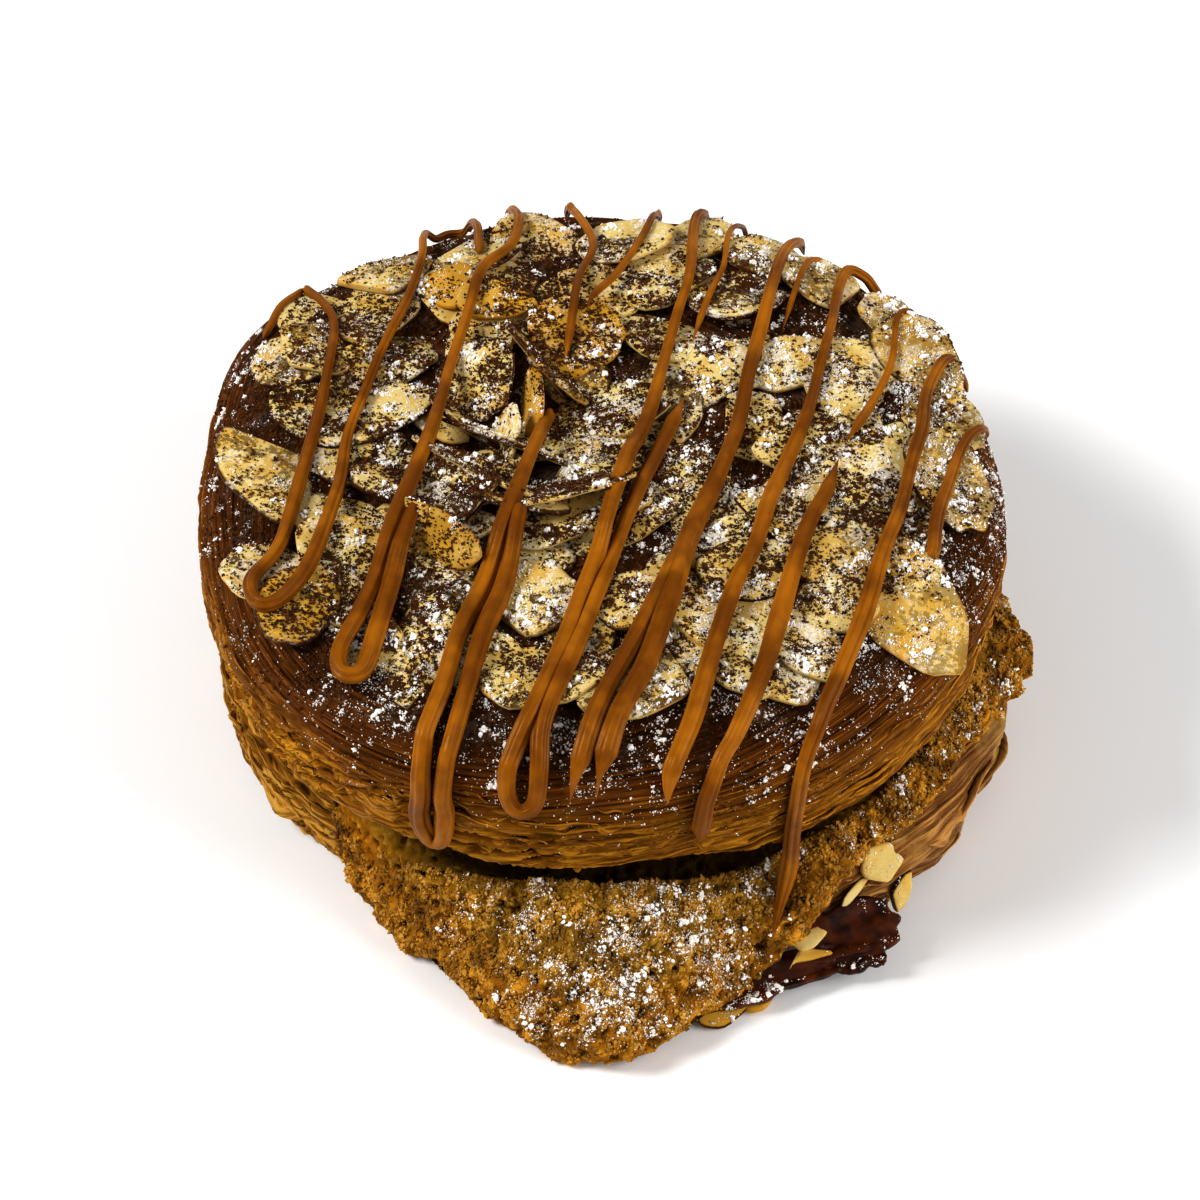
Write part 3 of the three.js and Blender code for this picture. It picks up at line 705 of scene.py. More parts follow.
def layAlmonds():
    draw = np.random.default_rng(almonds["seed"])
    rows = []
    for k in range(almonds["fillers"]):
        bearing = k * 2.39996  # the golden angle spreads them evenly
        r = almonds["fillerReach"] * math.sqrt((k + 0.5) / almonds["fillers"])
        rows.append((r * math.cos(bearing), r * math.sin(bearing), draw.uniform(0, 180),
                     draw.uniform(12, 19), draw.uniform(9, 12), draw.uniform(0.1, 0.4)))
    rows += almonds["slices"]
    heap = Heap(*almonds["heap"])
    pieces = []
    for k, (x, y, turn, long, wide, *lie, toast) in enumerate(rows):
        lift, rock, roll = lie or (0, 0, 0)
        heading = math.radians(turn)
        if not roll:
            rock = draw.uniform(-1, 1) * almonds["looseRock"]
            roll = draw.uniform(-1, 1) * almonds["looseRoll"]
        plane, spots = heap.settle(x, y, heading, long, wide * math.cos(math.radians(roll)))
        snapped = draw.choice([0, 0, 0.08, 0.16])
        nut = makeSlice(f"slice{k}", long, wide, 100 + k, toast, snapped)
        lean = Vector((-plane[1], -plane[2], 1)).normalized()
        tilt = Vector((0, 0, 1)).rotation_difference(lean).to_matrix().to_4x4()
        own = Euler((math.radians(roll), math.radians(-rock), 0)).to_matrix().to_4x4()
        spin = Matrix.Rotation(heading, 4, "Z")
        lift += 0.2 * wide * math.sin(math.radians(abs(roll)))
        height = plane[0] + almonds["thickness"] / 2 + lift
        move = Matrix.Translation(Vector((x, y, height)) * mm)
        nut.data.transform(move @ tilt @ spin @ own)
        pieces.append(nut)
        if abs(roll) < 30:
            heap.pile(plane, spots, almonds["thickness"])
    return joined("almondSlices", pieces)


# the caramel: each strand's radius in mm, how its two ends are drawn out, and its route over the top,
# with a height only where it hangs at the side
caramel = {
    "pitch": 0.7, "stick": 0.5, "rounds": 7, "sides": 36, "lobes": 5, "groove": 0.3, "highest": 49.9,
    "reach": {"point": 5.0, "thread": 10.0}, "power": {"round": 0.5, "point": 1.2, "thread": 0.85},
    "smooth": {"round": 2, "point": 2, "thread": 16},
    "strands": [
        (1.0, "round", "round", [(-43, 36, 42), (-47, 31, 45), (-48, 26, 43)]),
        (1.1, "round", "round", [(-43, 36, 41), (-40, 31), (-38, 24), (-39.5, 6), (-41.5, -6),
            (-43.5, -17), (-47, -24, 44.5), (-46, -28.5, 44), (-43, -28), (-39, -21), (-36, -8), (-35, 3),
            (-32, 16), (-28, 30), (-26, 41), (-26, 50, 43.5), (-22, 54, 40), (-18.5, 50, 44),
            (-17.5, 41)]),
        (1.25, "round", "round", [(-14, 56, 39), (-12, 50, 44.5), (-13, 42), (-17, 35), (-19, 25),
            (-21, 15), (-23, 3), (-25.2, -6), (-27.3, -14), (-29.4, -22), (-32, -31), (-34.5, -37),
            (-34, -40.5, 46), (-31.5, -40.5, 46), (-30, -36), (-27.2, -22), (-25, -13)]),
        (1.05, "round", "point", [(-5, 56.5, 38.5), (-3, 51, 44.5), (-1, 43), (-3, 35), (-4, 25),
            (-5, 17)]),
        (1.3, "round", "round", [(-7, 10), (-8, 3), (-10.5, -7), (-12.6, -15), (-15.6, -25), (-18.6, -34),
            (-20.6, -43), (-23, -50, 44.5), (-23.9, -54.6, 38), (-23.8, -54.4, 30.6),
            (-23.1, -54.4, 28.2), (-21.9, -54.7, 28.2), (-21.1, -55.1, 30.6), (-21.1, -55.2, 38),
            (-19.4, -51, 44.5), (-17.4, -43), (-15.4, -34), (-12.8, -25), (-10.8, -13)]),
        (0.9, "round", "point", [(9, 56, 39), (8, 51, 44.5), (6, 44), (2, 35), (-1, 30), (-2, 26)]),
        (1.3, "round", "point", [(16, 54.5, 39.5), (14, 49, 44.8), (13, 36), (11, 27), (9, 17), (7, 7),
            (4, -3), (2, -11), (0, -19), (-2.5, -28), (-5, -37), (-8, -46), (-10.4, -51, 44.5),
            (-12.2, -55, 41), (-12, -57, 39), (-10.2, -57.8, 37.8), (-8.4, -57, 39.2), (-7.9, -55, 42),
            (-7.6, -50, 45), (-5.4, -43), (-2.6, -34), (0.6, -23), (4.4, -11), (7.9, -1), (12, 11)]),
        (0.75, "round", "point", [(22, 52.5, 39.5), (19, 46, 45), (18, 38), (16, 32), (13, 21)]),
        (1.5, "round", "point", [(30, 48, 40), (27, 42, 45), (25, 34), (23, 24), (21, 15), (19, 4),
            (16, -6), (13, -14), (11, -21), (9, -30), (6, -40), (3, -47), (1, -52.5, 43.5),
            (-0.5, -57, 40)]),
        (1.3, "point", "point", [(12, -16), (9, -25), (5, -35), (1.2, -43.5), (-1.2, -50, 45),
            (-3, -55, 42), (-4, -57.5, 39.5)]),
        (0.8, "round", "point", [(33, 42.5, 44), (30, 39, 46), (26, 25)]),
        (1.25, "round", "point", [(42, 39, 40), (36, 39, 44.5), (33, 25), (31, 16), (29, 7), (26, -2),
            (23, -11), (21, -19), (18, -26), (14, -41), (12, -48), (10, -53, 43.5), (9, -56, 41),
            (9, -57.5, 38)]),
        (0.85, "round", "point", [(48, 30, 41), (43, 28, 45.5), (41, 17), (34, 0)]),
        (1.25, "point", "point", [(33, -3), (31, -9), (28, -16), (24, -31), (22, -39), (19.5, -46),
            (17, -51, 44), (14.5, -55.5, 40), (13.5, -56.5, 34), (13.5, -55.5, 28)]),
        (1.2, "round", "thread", [(54, 20, 40), (50, 21, 44), (46, 12), (45, 4), (43, -3), (41, -12),
            (38, -21), (35.5, -30), (32.5, -38), (30.9, -42.5), (29.4, -46.6, 44), (28.3, -48.6, 42.6),
            (27.4, -50.3, 40.4), (26.6, -51.8, 37), (26.1, -52, 30), (25.7, -51.8, 24),
            (25.4, -51.8, 18.8), (24.5, -54, 15.6), (24, -55.8, 13.4), (23.4, -57.6, 10.8)]),
        (1.0, "round", "round", [(55, 8, 42), (51, 3), (48, -6), (46, -13), (45, -21)]),
    ],
}


def strandLine(strand, crust, heap):
    # the strand's middle line in mm, laid over the heap and down the crust
    radius, _, last, route = strand
    hangs = [float(len(point) > 2) for point in route]
    laid = [point if len(point) > 2 else (*point, crestHeight(*point) + 3.5) for point in route]
    length = np.linalg.norm(np.diff(np.array(laid), axis=0), axis=1).sum()
    steps = max(8, int(length / caramel["pitch"]))
    line = curveThrough(laid, steps)
    want = radius * caramel["stick"]
    # it bridges the dips: the highest ground for some way each side, smoothed
    ground, onTop = line[:, 2] - want, np.zeros(steps, bool)
    for i in range(steps):
        hit, normal, _, _ = heap.ray_cast(Vector((line[i, 0], line[i, 1], 70)) * mm, Vector((0, 0, -1)))
        if hit and hit.z / mm > crown["top"] - 6 and (normal.z > 0.62 or math.hypot(*line[i, :2]) < 50):
            ground[i], onTop[i] = hit.z / mm, True
    ends = np.pad(ground, 8, mode="edge")
    bridge = smoothLine(np.max([ends[k:k + steps] - 0.07 * abs(k - 8) for k in range(17)], axis=0), 28)
    # up or down onto the bridge, and beside the crust out of it or towards it
    for _ in range(caramel["rounds"]):
        shift = np.zeros_like(line)
        shift[onTop, 2] = (bridge + want - line[:, 2])[onTop]
        for i in np.flatnonzero(~onTop):
            point = Vector(line[i]) * mm
            near, normal, _, _ = crust.find_nearest(point)
            away = (point - near).length / mm * (1 if (point - near).dot(normal) > 0 else -1)
            if away < want or (away < 4 and line[i, 2] > crown["bottom"] + 4):
                shift[i] = np.array(normal) * (want - away) * (1 if away < want else 0.3)
        line += smoothLine(shift, 6)
    # drawn taut, and flattened where it would stand highest
    taut = smoothLine(line, 16)
    onHeap = smoothLine(onTop.astype(float), 3)[:, None] * (line[:, 2:] > 44)
    line = line * (1 - onHeap) + np.column_stack([line[:, :2], taut[:, 2]]) * onHeap
    over = np.maximum(line[:, 2] - caramel["highest"], 0)
    line[:, 2] -= 0.7 * over
    return smoothLine(line, caramel["smooth"][last])


def strandRadii(strand, line, seed):
    # thicker towards the front, uneven along the way, rounded or drawn out at the ends
    draw = np.random.default_rng(seed)
    radius, *ends, _ = strand
    along = np.arange(len(line)) * caramel["pitch"]
    radii = radius * (0.6 + 0.42 * ease(line[:, 1], 34, -34))
    beads = 0.08 * np.sin(along / 7.3 + draw.uniform(0, 6))
    radii *= 1 + beads + 0.03 * np.sin(along / 2.6 + draw.uniform(0, 6))
    for shape, away in zip(ends, (along, along[::-1])):
        reach = caramel["reach"].get(shape, radius)
        radii *= np.clip((away + 0.06) / reach, 0.02, 1) ** caramel["power"][shape]
    return radii


def lobedProfile():
    # the strands' section: rounded lobes, so that fine grooves run along them
    profile = bpy.data.curves.new("strandProfile", "CURVE")
    ring = profile.splines.new("POLY")
    ring.points.add(caramel["sides"] - 1)
    angle = np.arange(caramel["sides"]) / caramel["sides"] * 2 * math.pi
    wander = angle + 0.25 * np.sin(angle + 0.6) + 0.12 * np.sin(2 * angle)
    r = mm * (1 - caramel["groove"] * (0.5 + 0.5 * np.cos(caramel["lobes"] * wander)) ** 2.5)
    corners = np.column_stack([r * np.cos(angle), r * np.sin(angle), 0 * r, 0 * r + 1])
    ring.points.foreach_set("co", corners.ravel())
    ring.use_cyclic_u = True
    return newObject("strandProfile", profile)


def makeCaramel(crust, ground):
    # one curve with a lobed section holds every strand, and then becomes a mesh
    curve = bpy.data.curves.new("caramelStrands", "CURVE")
    curve.dimensions = "3D"
    curve.bevel_mode = "OBJECT"
    curve.bevel_object = lobedProfile()
    curve.use_fill_caps = True
    for k, strand in enumerate(caramel["strands"]):
        line = strandLine(strand, crust, ground)
        radii = strandRadii(strand, line, 300 + k)
        spline = curve.splines.new("POLY")
        spline.points.add(len(line) - 1)
        spline.points.foreach_set("co", np.column_stack([line * mm, np.ones(len(line))]).ravel())
        spline.points.foreach_set("radius", radii)
    pick(newObject("caramelStrands", curve))
    bpy.ops.object.convert(target="MESH")
    piece = bpy.context.object
    piece.name = piece.data.name = "caramelStrands"
    bpy.data.objects.remove(bpy.data.objects["strandProfile"])
    tidyMesh(piece, merge=1e-6)
    return piece


# pieces that stick out under the cream at the front right
frontBits = {
    "curl": 0.03, "flakeThickness": 0.7,
    # x, y, lowest height, turn, rock, roll, length, width, and for almonds how toasted they are
    "almonds": [
        (16.8, -61.2, 0.4, 22, 2, 12, 9, 6, 0.9), (21.5, -60.2, 0.5, 24, 2, 6, 5, 3.4, 0.85),
        (29, -54.4, 6.4, 32, 12, 24, 5.6, 2.4, 0.1), (27.6, -56.4, 4.8, 6, 4, 30, 8.4, 1.7, 0.6),
        (35, -48, 8.6, 46, 20, 62, 6.4, 1.5, 0.05), (38.9, -45, 9.6, 38, 8, 58, 7.2, 5.8, 0.4),
        (41.6, -45.2, 3.4, 58, 44, 64, 6.6, 3.4, 0.55),
    ],
    "flakes": [
        (34, -51.8, 3.0, 14, 8, 30, 14, 10), (34, -54.8, 2.2, 0, 2, 24, 10, 5.5),
        (21.5, -58.6, 1.4, 18, 3, 20, 22, 7),
    ],
}


def raggedSheet(name, long, wide, seed):
    # a thin crisp sheet with a torn edge and a jagged far end, curled along its length
    pick()
    bpy.ops.mesh.primitive_grid_add(x_subdivisions=44, y_subdivisions=16, size=1)
    piece = bpy.context.object
    piece.name = piece.data.name = name
    co = placesOf(piece)
    u, v = co[:, 0] * 2, co[:, 1] * 2
    torn = 0.8 + 0.36 * (softNoise(seed, u * 3.4 + 20, np.sign(v) * 3 + 9) - 0.5) - 0.3 * u ** 2
    jags = 0.2 * (softNoise(seed + 1, v * 2.6 + 9, u * 0) - 0.5) * np.maximum(u, 0) ** 2
    x = u * long / 2 * (1 + jags)
    y = v * wide / 2 * torn
    folds = softNoise(seed + 2, u * 1.2 + 7, v * 2.4 + 7) - 0.5
    wrinkles = softNoise(seed + 3, u * 5 + 7, v * 6 + 7) - 0.5
    z = frontBits["curl"] * (v * wide / 2) ** 2 + 1.6 * folds + 0.3 * wrinkles
    setPlaces(piece, np.column_stack([x, y, z]) * mm)
    thicken(piece, frontBits["flakeThickness"])
    bpy.ops.object.shade_smooth()
    return piece


def placeLow(piece, x, y, low, turn, rock, roll):
    # turns a piece about its middle and stands its lowest point at a height
    turned = Euler((math.radians(roll), math.radians(-rock), math.radians(turn))).to_matrix().to_4x4()
    piece.data.transform(turned)
    lowest = min(v.co.z for v in piece.data.vertices)
    piece.data.transform(Matrix.Translation((x * mm, y * mm, low * mm - lowest)))


def makeFrontBits():
    nuts = []
    for k, (x, y, low, turn, rock, roll, long, wide, toast) in enumerate(frontBits["almonds"]):
        nut = makeSlice(f"frontSlice{k}", long, wide, 700 + k, toast, 0.08 * (k % 3), 0.05)
        placeLow(nut, x, y, low, turn, rock, roll)
        nuts.append(nut)
    sheets = []
    for k, (x, y, low, turn, rock, roll, long, wide) in enumerate(frontBits["flakes"]):
        sheet = raggedSheet(f"burntFlake{k}", long, wide, 800 + 10 * k)
        placeLow(sheet, x, y, low, turn, rock, roll)
        sheets.append(sheet)
    return joined("frontAlmonds", nuts), joined("burntFlakes", sheets)


# icing sugar, cocoa and crumbs: how many, sizes in mm, and how many lie in a cluster
dust = {
    "field": {"x": (-62, 62), "y": (-73, 60), "batch": 6000},
    "sugar": {"count": 8300, "small": 0.1, "large": 0.38, "cluster": 24, "spread": 0.65, "seed": 31},
    "creamSugar": {"count": 1200, "cluster": 18, "spread": 0.4, "seed": 41},
    "sugarDust": {"count": 34000, "small": 0.09, "large": 0.22, "cluster": 26, "spread": 0.9, "seed": 33},
    "creamSugarDust": {"count": 8500, "cluster": 18, "spread": 0.6, "seed": 43},
    "sideSugar": {"count": 6400, "seed": 45},
    "cocoa": {"count": 49000, "small": 0.16, "large": 0.36, "cluster": 9, "spread": 1.0, "seed": 35},
    "crumbs": {"count": 24000, "small": 0.16, "large": 0.46, "seed": 37},
}


def tetrahedron():
    corners = np.array([(1, 1, 1), (1, -1, -1), (-1, 1, -1), (-1, -1, 1)]) / 3 ** 0.5
    return corners, np.array([(0, 1, 2), (0, 3, 1), (0, 2, 3), (1, 3, 2)])


def octahedron():
    corners = np.array([(1, 0, 0), (-1, 0, 0), (0, 1, 0), (0, -1, 0), (0, 0, 1), (0, 0, -1)], float)
    faces = [(0, 2, 4), (2, 1, 4), (1, 3, 4), (3, 0, 4), (2, 0, 5), (1, 2, 5), (3, 1, 5), (0, 3, 5)]
    return corners, np.array(faces)


def icosahedron():
    g = (1 + 5 ** 0.5) / 2
    corners = np.array([(-1, g, 0), (1, g, 0), (-1, -g, 0), (1, -g, 0), (0, -1, g), (0, 1, g),
                        (0, -1, -g), (0, 1, -g), (g, 0, -1), (g, 0, 1), (-g, 0, -1), (-g, 0, 1)])
    faces = np.array([(0, 11, 5), (0, 5, 1), (0, 1, 7), (0, 7, 10), (0, 10, 11), (1, 5, 9), (5, 11, 4),
                      (11, 10, 2), (10, 7, 6), (7, 1, 8), (3, 9, 4), (3, 4, 2), (3, 2, 6), (3, 6, 8),
                      (3, 8, 9), (4, 9, 5), (2, 4, 11), (6, 2, 10), (8, 6, 7), (9, 8, 1)])
    return corners / np.linalg.norm(corners[0]), faces


def scatterSpots(tree, grains, wanted):
    # spots where falling dust comes to rest, in small clusters, drawn until there are enough
    draw = np.random.default_rng(grains["seed"])
    field, batch = dust["field"], dust["field"]["batch"]
    spots = []
    while len(spots) < grains["count"]:
        x, y = draw.uniform(*field["x"], batch), draw.uniform(*field["y"], batch)
        kept = draw.random(batch) < wanted(x, y)
        members = draw.integers(1, grains["cluster"] + 1, kept.sum())
        x, y = np.repeat(x[kept], members), np.repeat(y[kept], members)
        spread = np.repeat(draw.uniform(0.1, grains["spread"], kept.sum()), members)
        x, y = x + draw.normal(size=len(x)) * spread, y + draw.normal(size=len(x)) * spread
        for px, py, chance in zip(x, y, draw.random(len(x))):
            hit, normal, _, _ = tree.ray_cast(Vector((px * mm, py * mm, 0.08)), Vector((0, 0, -1)))
            if hit is not None and normal.z > 0.1 and chance < 0.2 + normal.z:
                spots.append(tuple(hit))
    return np.array(spots[:grains["count"]])


def spotsOver(piece, grains, wanted):
    # spots all over a surface, steep or not: wanted says how likely a face is, from its middle and from
    # how much it faces up
    draw = np.random.default_rng(grains["seed"])
    piece.data.calc_loop_triangles()
    corners = np.array([v.co for v in piece.data.vertices])
    faces = np.array([t.vertices for t in piece.data.loop_triangles])
    a, b, c = corners[faces[:, 0]], corners[faces[:, 1]], corners[faces[:, 2]]
    across = np.cross(b - a, c - a)
    area = np.linalg.norm(across, axis=1)
    x, y, z = ((a + b + c) / 3 / mm).T
    share = np.cumsum(area * wanted(x, y, z, across[:, 2] / np.maximum(area, 1e-15)))
    picked = np.searchsorted(share, draw.random(grains["count"]) * share[-1])
    s, t = draw.random((2, grains["count"], 1))
    s, t = np.where(s + t > 1, 1 - s, s), np.where(s + t > 1, 1 - t, t)
    return a[picked] + s * (b - a)[picked] + t * (c - a)[picked]


def lumpsAt(name, shape, spots, grains):
    # one mesh of uneven lumps, each turned its own way
    draw = np.random.default_rng(grains["seed"] + 1)
    corners, faces = shape
    count = len(spots)
    sizes = grains["small"] + (grains["large"] - grains["small"]) * draw.random(count) ** 2.5
    jitter = draw.uniform(0.55, 1.45, (count, len(corners), 1))
    squash = draw.uniform(0.6, 1.25, (count, 1, 3))
    axes = np.linalg.qr(draw.normal(size=(count, 3, 3)))[0]
    axes[:, :, 0] *= np.sign(np.linalg.det(axes))[:, None]
    shapes = np.einsum("kci,kji->kcj", corners[None] * jitter * squash, axes)
    places = spots[:, None, :] + shapes * (sizes * mm)[:, None, None]
    places[..., 2] += (sizes * mm * 0.35)[:, None]
    places = np.clip(places, lowCorner * mm, highCorner * mm)
    allFaces = faces[None] + (np.arange(count) * len(corners))[:, None, None]
    return meshFromArrays(name, places.reshape(-1, 3), allFaces.reshape(-1, 3))


def drifts(seed, x, y, large, small):
    # patches of one size broken up by patches of another
    wide = softNoise(seed, x / large + 50, y / large + 50)
    return wide * softNoise(seed + 1, x / small + 50, y / small + 50)


def sugarWanted(x, y):
    # on the top: thicker to the right and on the shoulder
    side = 0.6 + 0.4 * ease(x, -35, 25)
    back = 1 - 0.15 * ease(y, 20, 55)
    away = np.hypot(x, y)
    shoulder = 1 + 1.3 * ease(away, 42, 48) * ease(x - y, -10, 30)
    wanted = 2.2 * drifts(51, x, y, 7, 2.2) ** 1.4 * side * back * shoulder
    return np.minimum(1, wanted) * (away < 57.5)


def creamSugarWanted(x, y):
    # on the cream: in drifts over the tongue, thinly round to the right, and less on the dark leaf
    tongue = ease(x, -24, -8) * ease(-y, 40, 48) * (1 - 0.6 * ease(x, 14, 30))
    right = 0.3 * ease(x, 30, 45)
    leaf = 1 - 0.75 * ((x > 25) & (y < -50))
    wanted = 2.6 * drifts(57, x, y, 5, 1.8) ** 1.2 * np.maximum(tongue, right) * leaf
    away = np.hypot(x, y)
    return np.minimum(1, wanted) * (away > 54.8) * (away < 71)


def sideSugarWanted(x, y, z, up):
    # the finest specks on the crown's side, fewer further down
    patches = softNoise(59, x / 4 + 50, y / 4 + 50, z / 3) ** 2
    return ease(z, 25, 42) * (z < 45.5) * (up > -0.2) * patches * (0.35 + 0.65 * ease(x - y, -10, 40))


def crumbsWanted(x, y, z, up):
    # on the cream that shows, and a little way in under the upper half
    inside = 51.5 + 2.6 * plateau(np.arctan2(y, x), -82, 42, 12)
    return (np.hypot(x, y) > inside) & (up > -0.2) & (z > 0.6)


def cocoaWanted(x, y):
    # over the almonds: thicker to the left, thin at the rim, and hardly any on the cream
    side = 0.5 + 0.5 * ease(x, 40, -20)
    rim = 1 - 0.7 * ease(np.hypot(x, y + 4), 43, 55)
    wanted = 4.2 * drifts(55, x, y, 10, 2.4) ** 1.8 * side * rim
    return np.minimum(1, wanted) * np.where(np.hypot(x, y) > 57, 0.05, 1)


def tone(red, green, blue):
    # a colour as it looks on a screen, 0 to 255, as the shader wants it
    shares = [channel / 255 for channel in (red, green, blue)]
    return tuple(((s + 0.055) / 1.055) ** 2.4 if s > 0.04045 else s / 12.92 for s in shares) + (1,)


class Value:
    # wraps a socket, so that sums on it become Math nodes
    def __init__(self, finish, socket):
        self.finish, self.socket = finish, socket

    def math(self, operation, first, second):
        return self.finish.node("ShaderNodeMath", {"operation": operation}, {0: first, 1: second})

    def __add__(self, other):
        return self.math("ADD", self, other)

    def __mul__(self, other):
        return self.math("MULTIPLY", self, other)

    def __sub__(self, other):
        return self.math("SUBTRACT", self, other)

    def __rsub__(self, other):
        return self.math("SUBTRACT", other, self)

    __radd__, __rmul__ = __add__, __mul__

    def between(self, low, high):
        # 0 below low and 1 above high, with soft ends
        return self.finish.node("ShaderNodeMapRange", {"interpolation_type": "SMOOTHSTEP"},
                                {"Value": self, "From Min": low, "From Max": high})


# colours here and below are as they look on a screen, from dark to light where there are several
dustTones = {"cocoa": (62, 32, 6), "sugar": (236, 228, 212)}


class Finish:
    # one material and its nodes
    def __init__(self, name, gloss=(255, 255, 255), **settings):
        self.material = bpy.data.materials.new(name)
        self.material.use_nodes = True
        self.tree = self.material.node_tree
        self.surface = self.tree.nodes["Principled BSDF"]
        settings["Specular_Tint"] = tone(*gloss)
        for socket, value in settings.items():
            self.surface.inputs[socket.replace("_", " ")].default_value = value
        self.place = self.node("ShaderNodeTexCoord", output="Object")

    def node(self, kind, settings=None, inputs=None, output=0):
        made = self.tree.nodes.new(kind)
        for key, value in (settings or {}).items():
            setattr(made, key, value)
        for key, value in (inputs or {}).items():
            if isinstance(value, Value):
                self.tree.links.new(value.socket, made.inputs[key])
            else:
                made.inputs[key].default_value = value
        return Value(self, made.outputs[output])

    def use(self, socket, value):
        self.tree.links.new(value.socket, self.surface.inputs[socket])

    def bump(self, height, strength, distance):
        self.use("Normal", self.node("ShaderNodeBump", inputs={
            "Height": height, "Strength": strength, "Distance": distance}, output="Normal"))

    def attribute(self, name):
        return self.node("ShaderNodeAttribute", {"attribute_name": name}, output="Fac")

    def along(self, axis, vector=None):
        return self.node("ShaderNodeSeparateXYZ", inputs={"Vector": vector or self.place}, output=axis)

    def stretched(self, scale):
        return self.node("ShaderNodeMapping", inputs={"Vector": self.place, "Scale": scale})

    def noise(self, scale, detail=4.0, roughness=0.6, vector=None):
        return self.node("ShaderNodeTexNoise", inputs={
            "Vector": vector or self.place, "Scale": scale, "Detail": detail, "Roughness": roughness})

    def mix(self, share, *colours):
        first, second = (c if isinstance(c, Value) else tone(*c) for c in colours)
        return self.node("ShaderNodeMix", {"data_type": "RGBA"},
                         {0: share, 6: first, 7: second}, output=2)

    def threeTones(self, level, middle, high, dark, medium, light):
        # one colour after the other as the level rises
        darker = self.mix(level.between(0.1, middle), dark, medium)
        return self.mix(level.between(middle, high), darker, light)

    def layerGrain(self, size):
        # fine ribs that follow the dough's layers, size mm apart
        spot = self.node("ShaderNodeCombineXYZ", inputs={
            "X": self.along("X") * 75, "Y": self.along("Y") * 75,
            "Z": self.attribute("layer") * (1 / size)})
        return self.noise(1.0, 3.0, 0.65, spot).between(0.34, 0.66)

    def dusted(self, colour, cocoaShare, sugarShare):
        # the finest cocoa and sugar, in ragged patches on what faces up
        facing = self.node("ShaderNodeNewGeometry", output="Normal")
        up = self.along("Z", facing).between(0.0, 0.45)
        cocoa = self.noise(1300, 4, 0.75) + self.noise(210, 2) * 0.7 + self.noise(75, 1) * 0.6 - 0.66
        colour = self.mix(cocoa.between(0.5, 0.55) * up * cocoaShare, colour, dustTones["cocoa"])
        sugar = self.noise(1150, 5, 0.8, self.stretched((1, 1, 1.01))) + self.noise(170, 2) * 0.6 - 0.3
        return self.mix(sugar.between(0.555, 0.59) * up * sugarShare, colour, dustTones["sugar"])


crownTones = {
    "gloss": (255, 190, 110), "top": ((32, 13, 2), (98, 54, 12)),
    "low": ((50, 25, 2), (132, 81, 9), (198, 140, 36)),
    "high": ((40, 16, 2), (100, 54, 10), (152, 92, 20)),
}


def crownFinish():
    # golden low on the side, browner up the side, and dark on top; darker in the pits and lighter on the
    # crests of the relief, partly the crust's own tone and partly painted shade
    finish = Finish("crownCrustFinish", crownTones["gloss"], Roughness=0.5, Specular_IOR_Level=0.14)
    relief, height = finish.attribute("relief"), finish.along("Z")
    ribs = finish.layerGrain(0.55) * 0.6 + finish.layerGrain(0.24) * 0.4
    # the relief darkens the pits: painted shade in the hollows, mixed with the layers' own ribs
    level = relief * 0.6 + ribs * 0.72 - 0.18
    low = finish.threeTones(level, 0.45, 0.9, *crownTones["low"])
    high = finish.threeTones(level, 0.5, 0.95, *crownTones["high"])
    browned = (height + finish.noise(70, 3) * 0.010 - 0.005).between(0.029, 0.041)
    colour = finish.mix(browned, low, high)
    dark = finish.mix(level.between(0.2, 0.8), *crownTones["top"])
    top = height.between(0.0405, 0.0442)
    finish.use("Base Color", finish.dusted(finish.mix(top, colour, dark), top * 0.9, top * 0.06))
    finish.use("Roughness", 0.62 - 0.25 * ribs)
    finish.bump(ribs + finish.noise(1100, 3) * 0.3, 0.75, 0.0006)
    return finish.material


lowerTones = {
    "gloss": (255, 190, 110), "milky": (198, 160, 88),
    "left": ((48, 26, 2), (130, 84, 18), (196, 146, 58)),
    "right": ((70, 38, 14), (138, 90, 42), (192, 142, 76)),
}


def lowerFinish():
    # golden at the left, redder at the right, with milky patches; darker in the pits of the relief,
    # partly the crust's own tone and partly painted shade
    finish = Finish("lowerCrustFinish", lowerTones["gloss"], Roughness=0.5, Specular_IOR_Level=0.2)
    relief, side = finish.attribute("relief"), finish.along("X")
    ribs = finish.layerGrain(0.5)
    # the relief darkens the pits: painted shade in the hollows, mixed with the layers' own ribs
    level = relief * 0.7 + ribs * 0.6 - 0.15
    left = finish.threeTones(level, 0.5, 0.95, *lowerTones["left"])
    right = finish.threeTones(level, 0.5, 0.95, *lowerTones["right"])
    colour = finish.mix((finish.noise(55, 3) + side * 8).between(0.45, 0.75), left, right)
    milky = (finish.noise(110, 4) + side * 5).between(0.74, 0.92) * relief.between(0.2, 0.6)
    finish.use("Base Color", finish.mix(milky * 0.55, colour, lowerTones["milky"]))
    finish.use("Roughness", 0.62 - 0.25 * ribs - (side * 8).between(0.2, 0.4) * 0.15)
    finish.bump(ribs + finish.noise(1000, 3) * 0.3, 0.7, 0.0006)
    return finish.material


# the near-black brown is painted shade for the groove and the cream under the overhang
creamTones = {
    "gloss": (255, 200, 120), "grooveAndPaintedShade": (26, 13, 2),
    "inner": ((58, 37, 4), (140, 102, 24), (206, 164, 70)),
    "outer": ((66, 38, 4), (152, 98, 18), (216, 154, 44)),
}


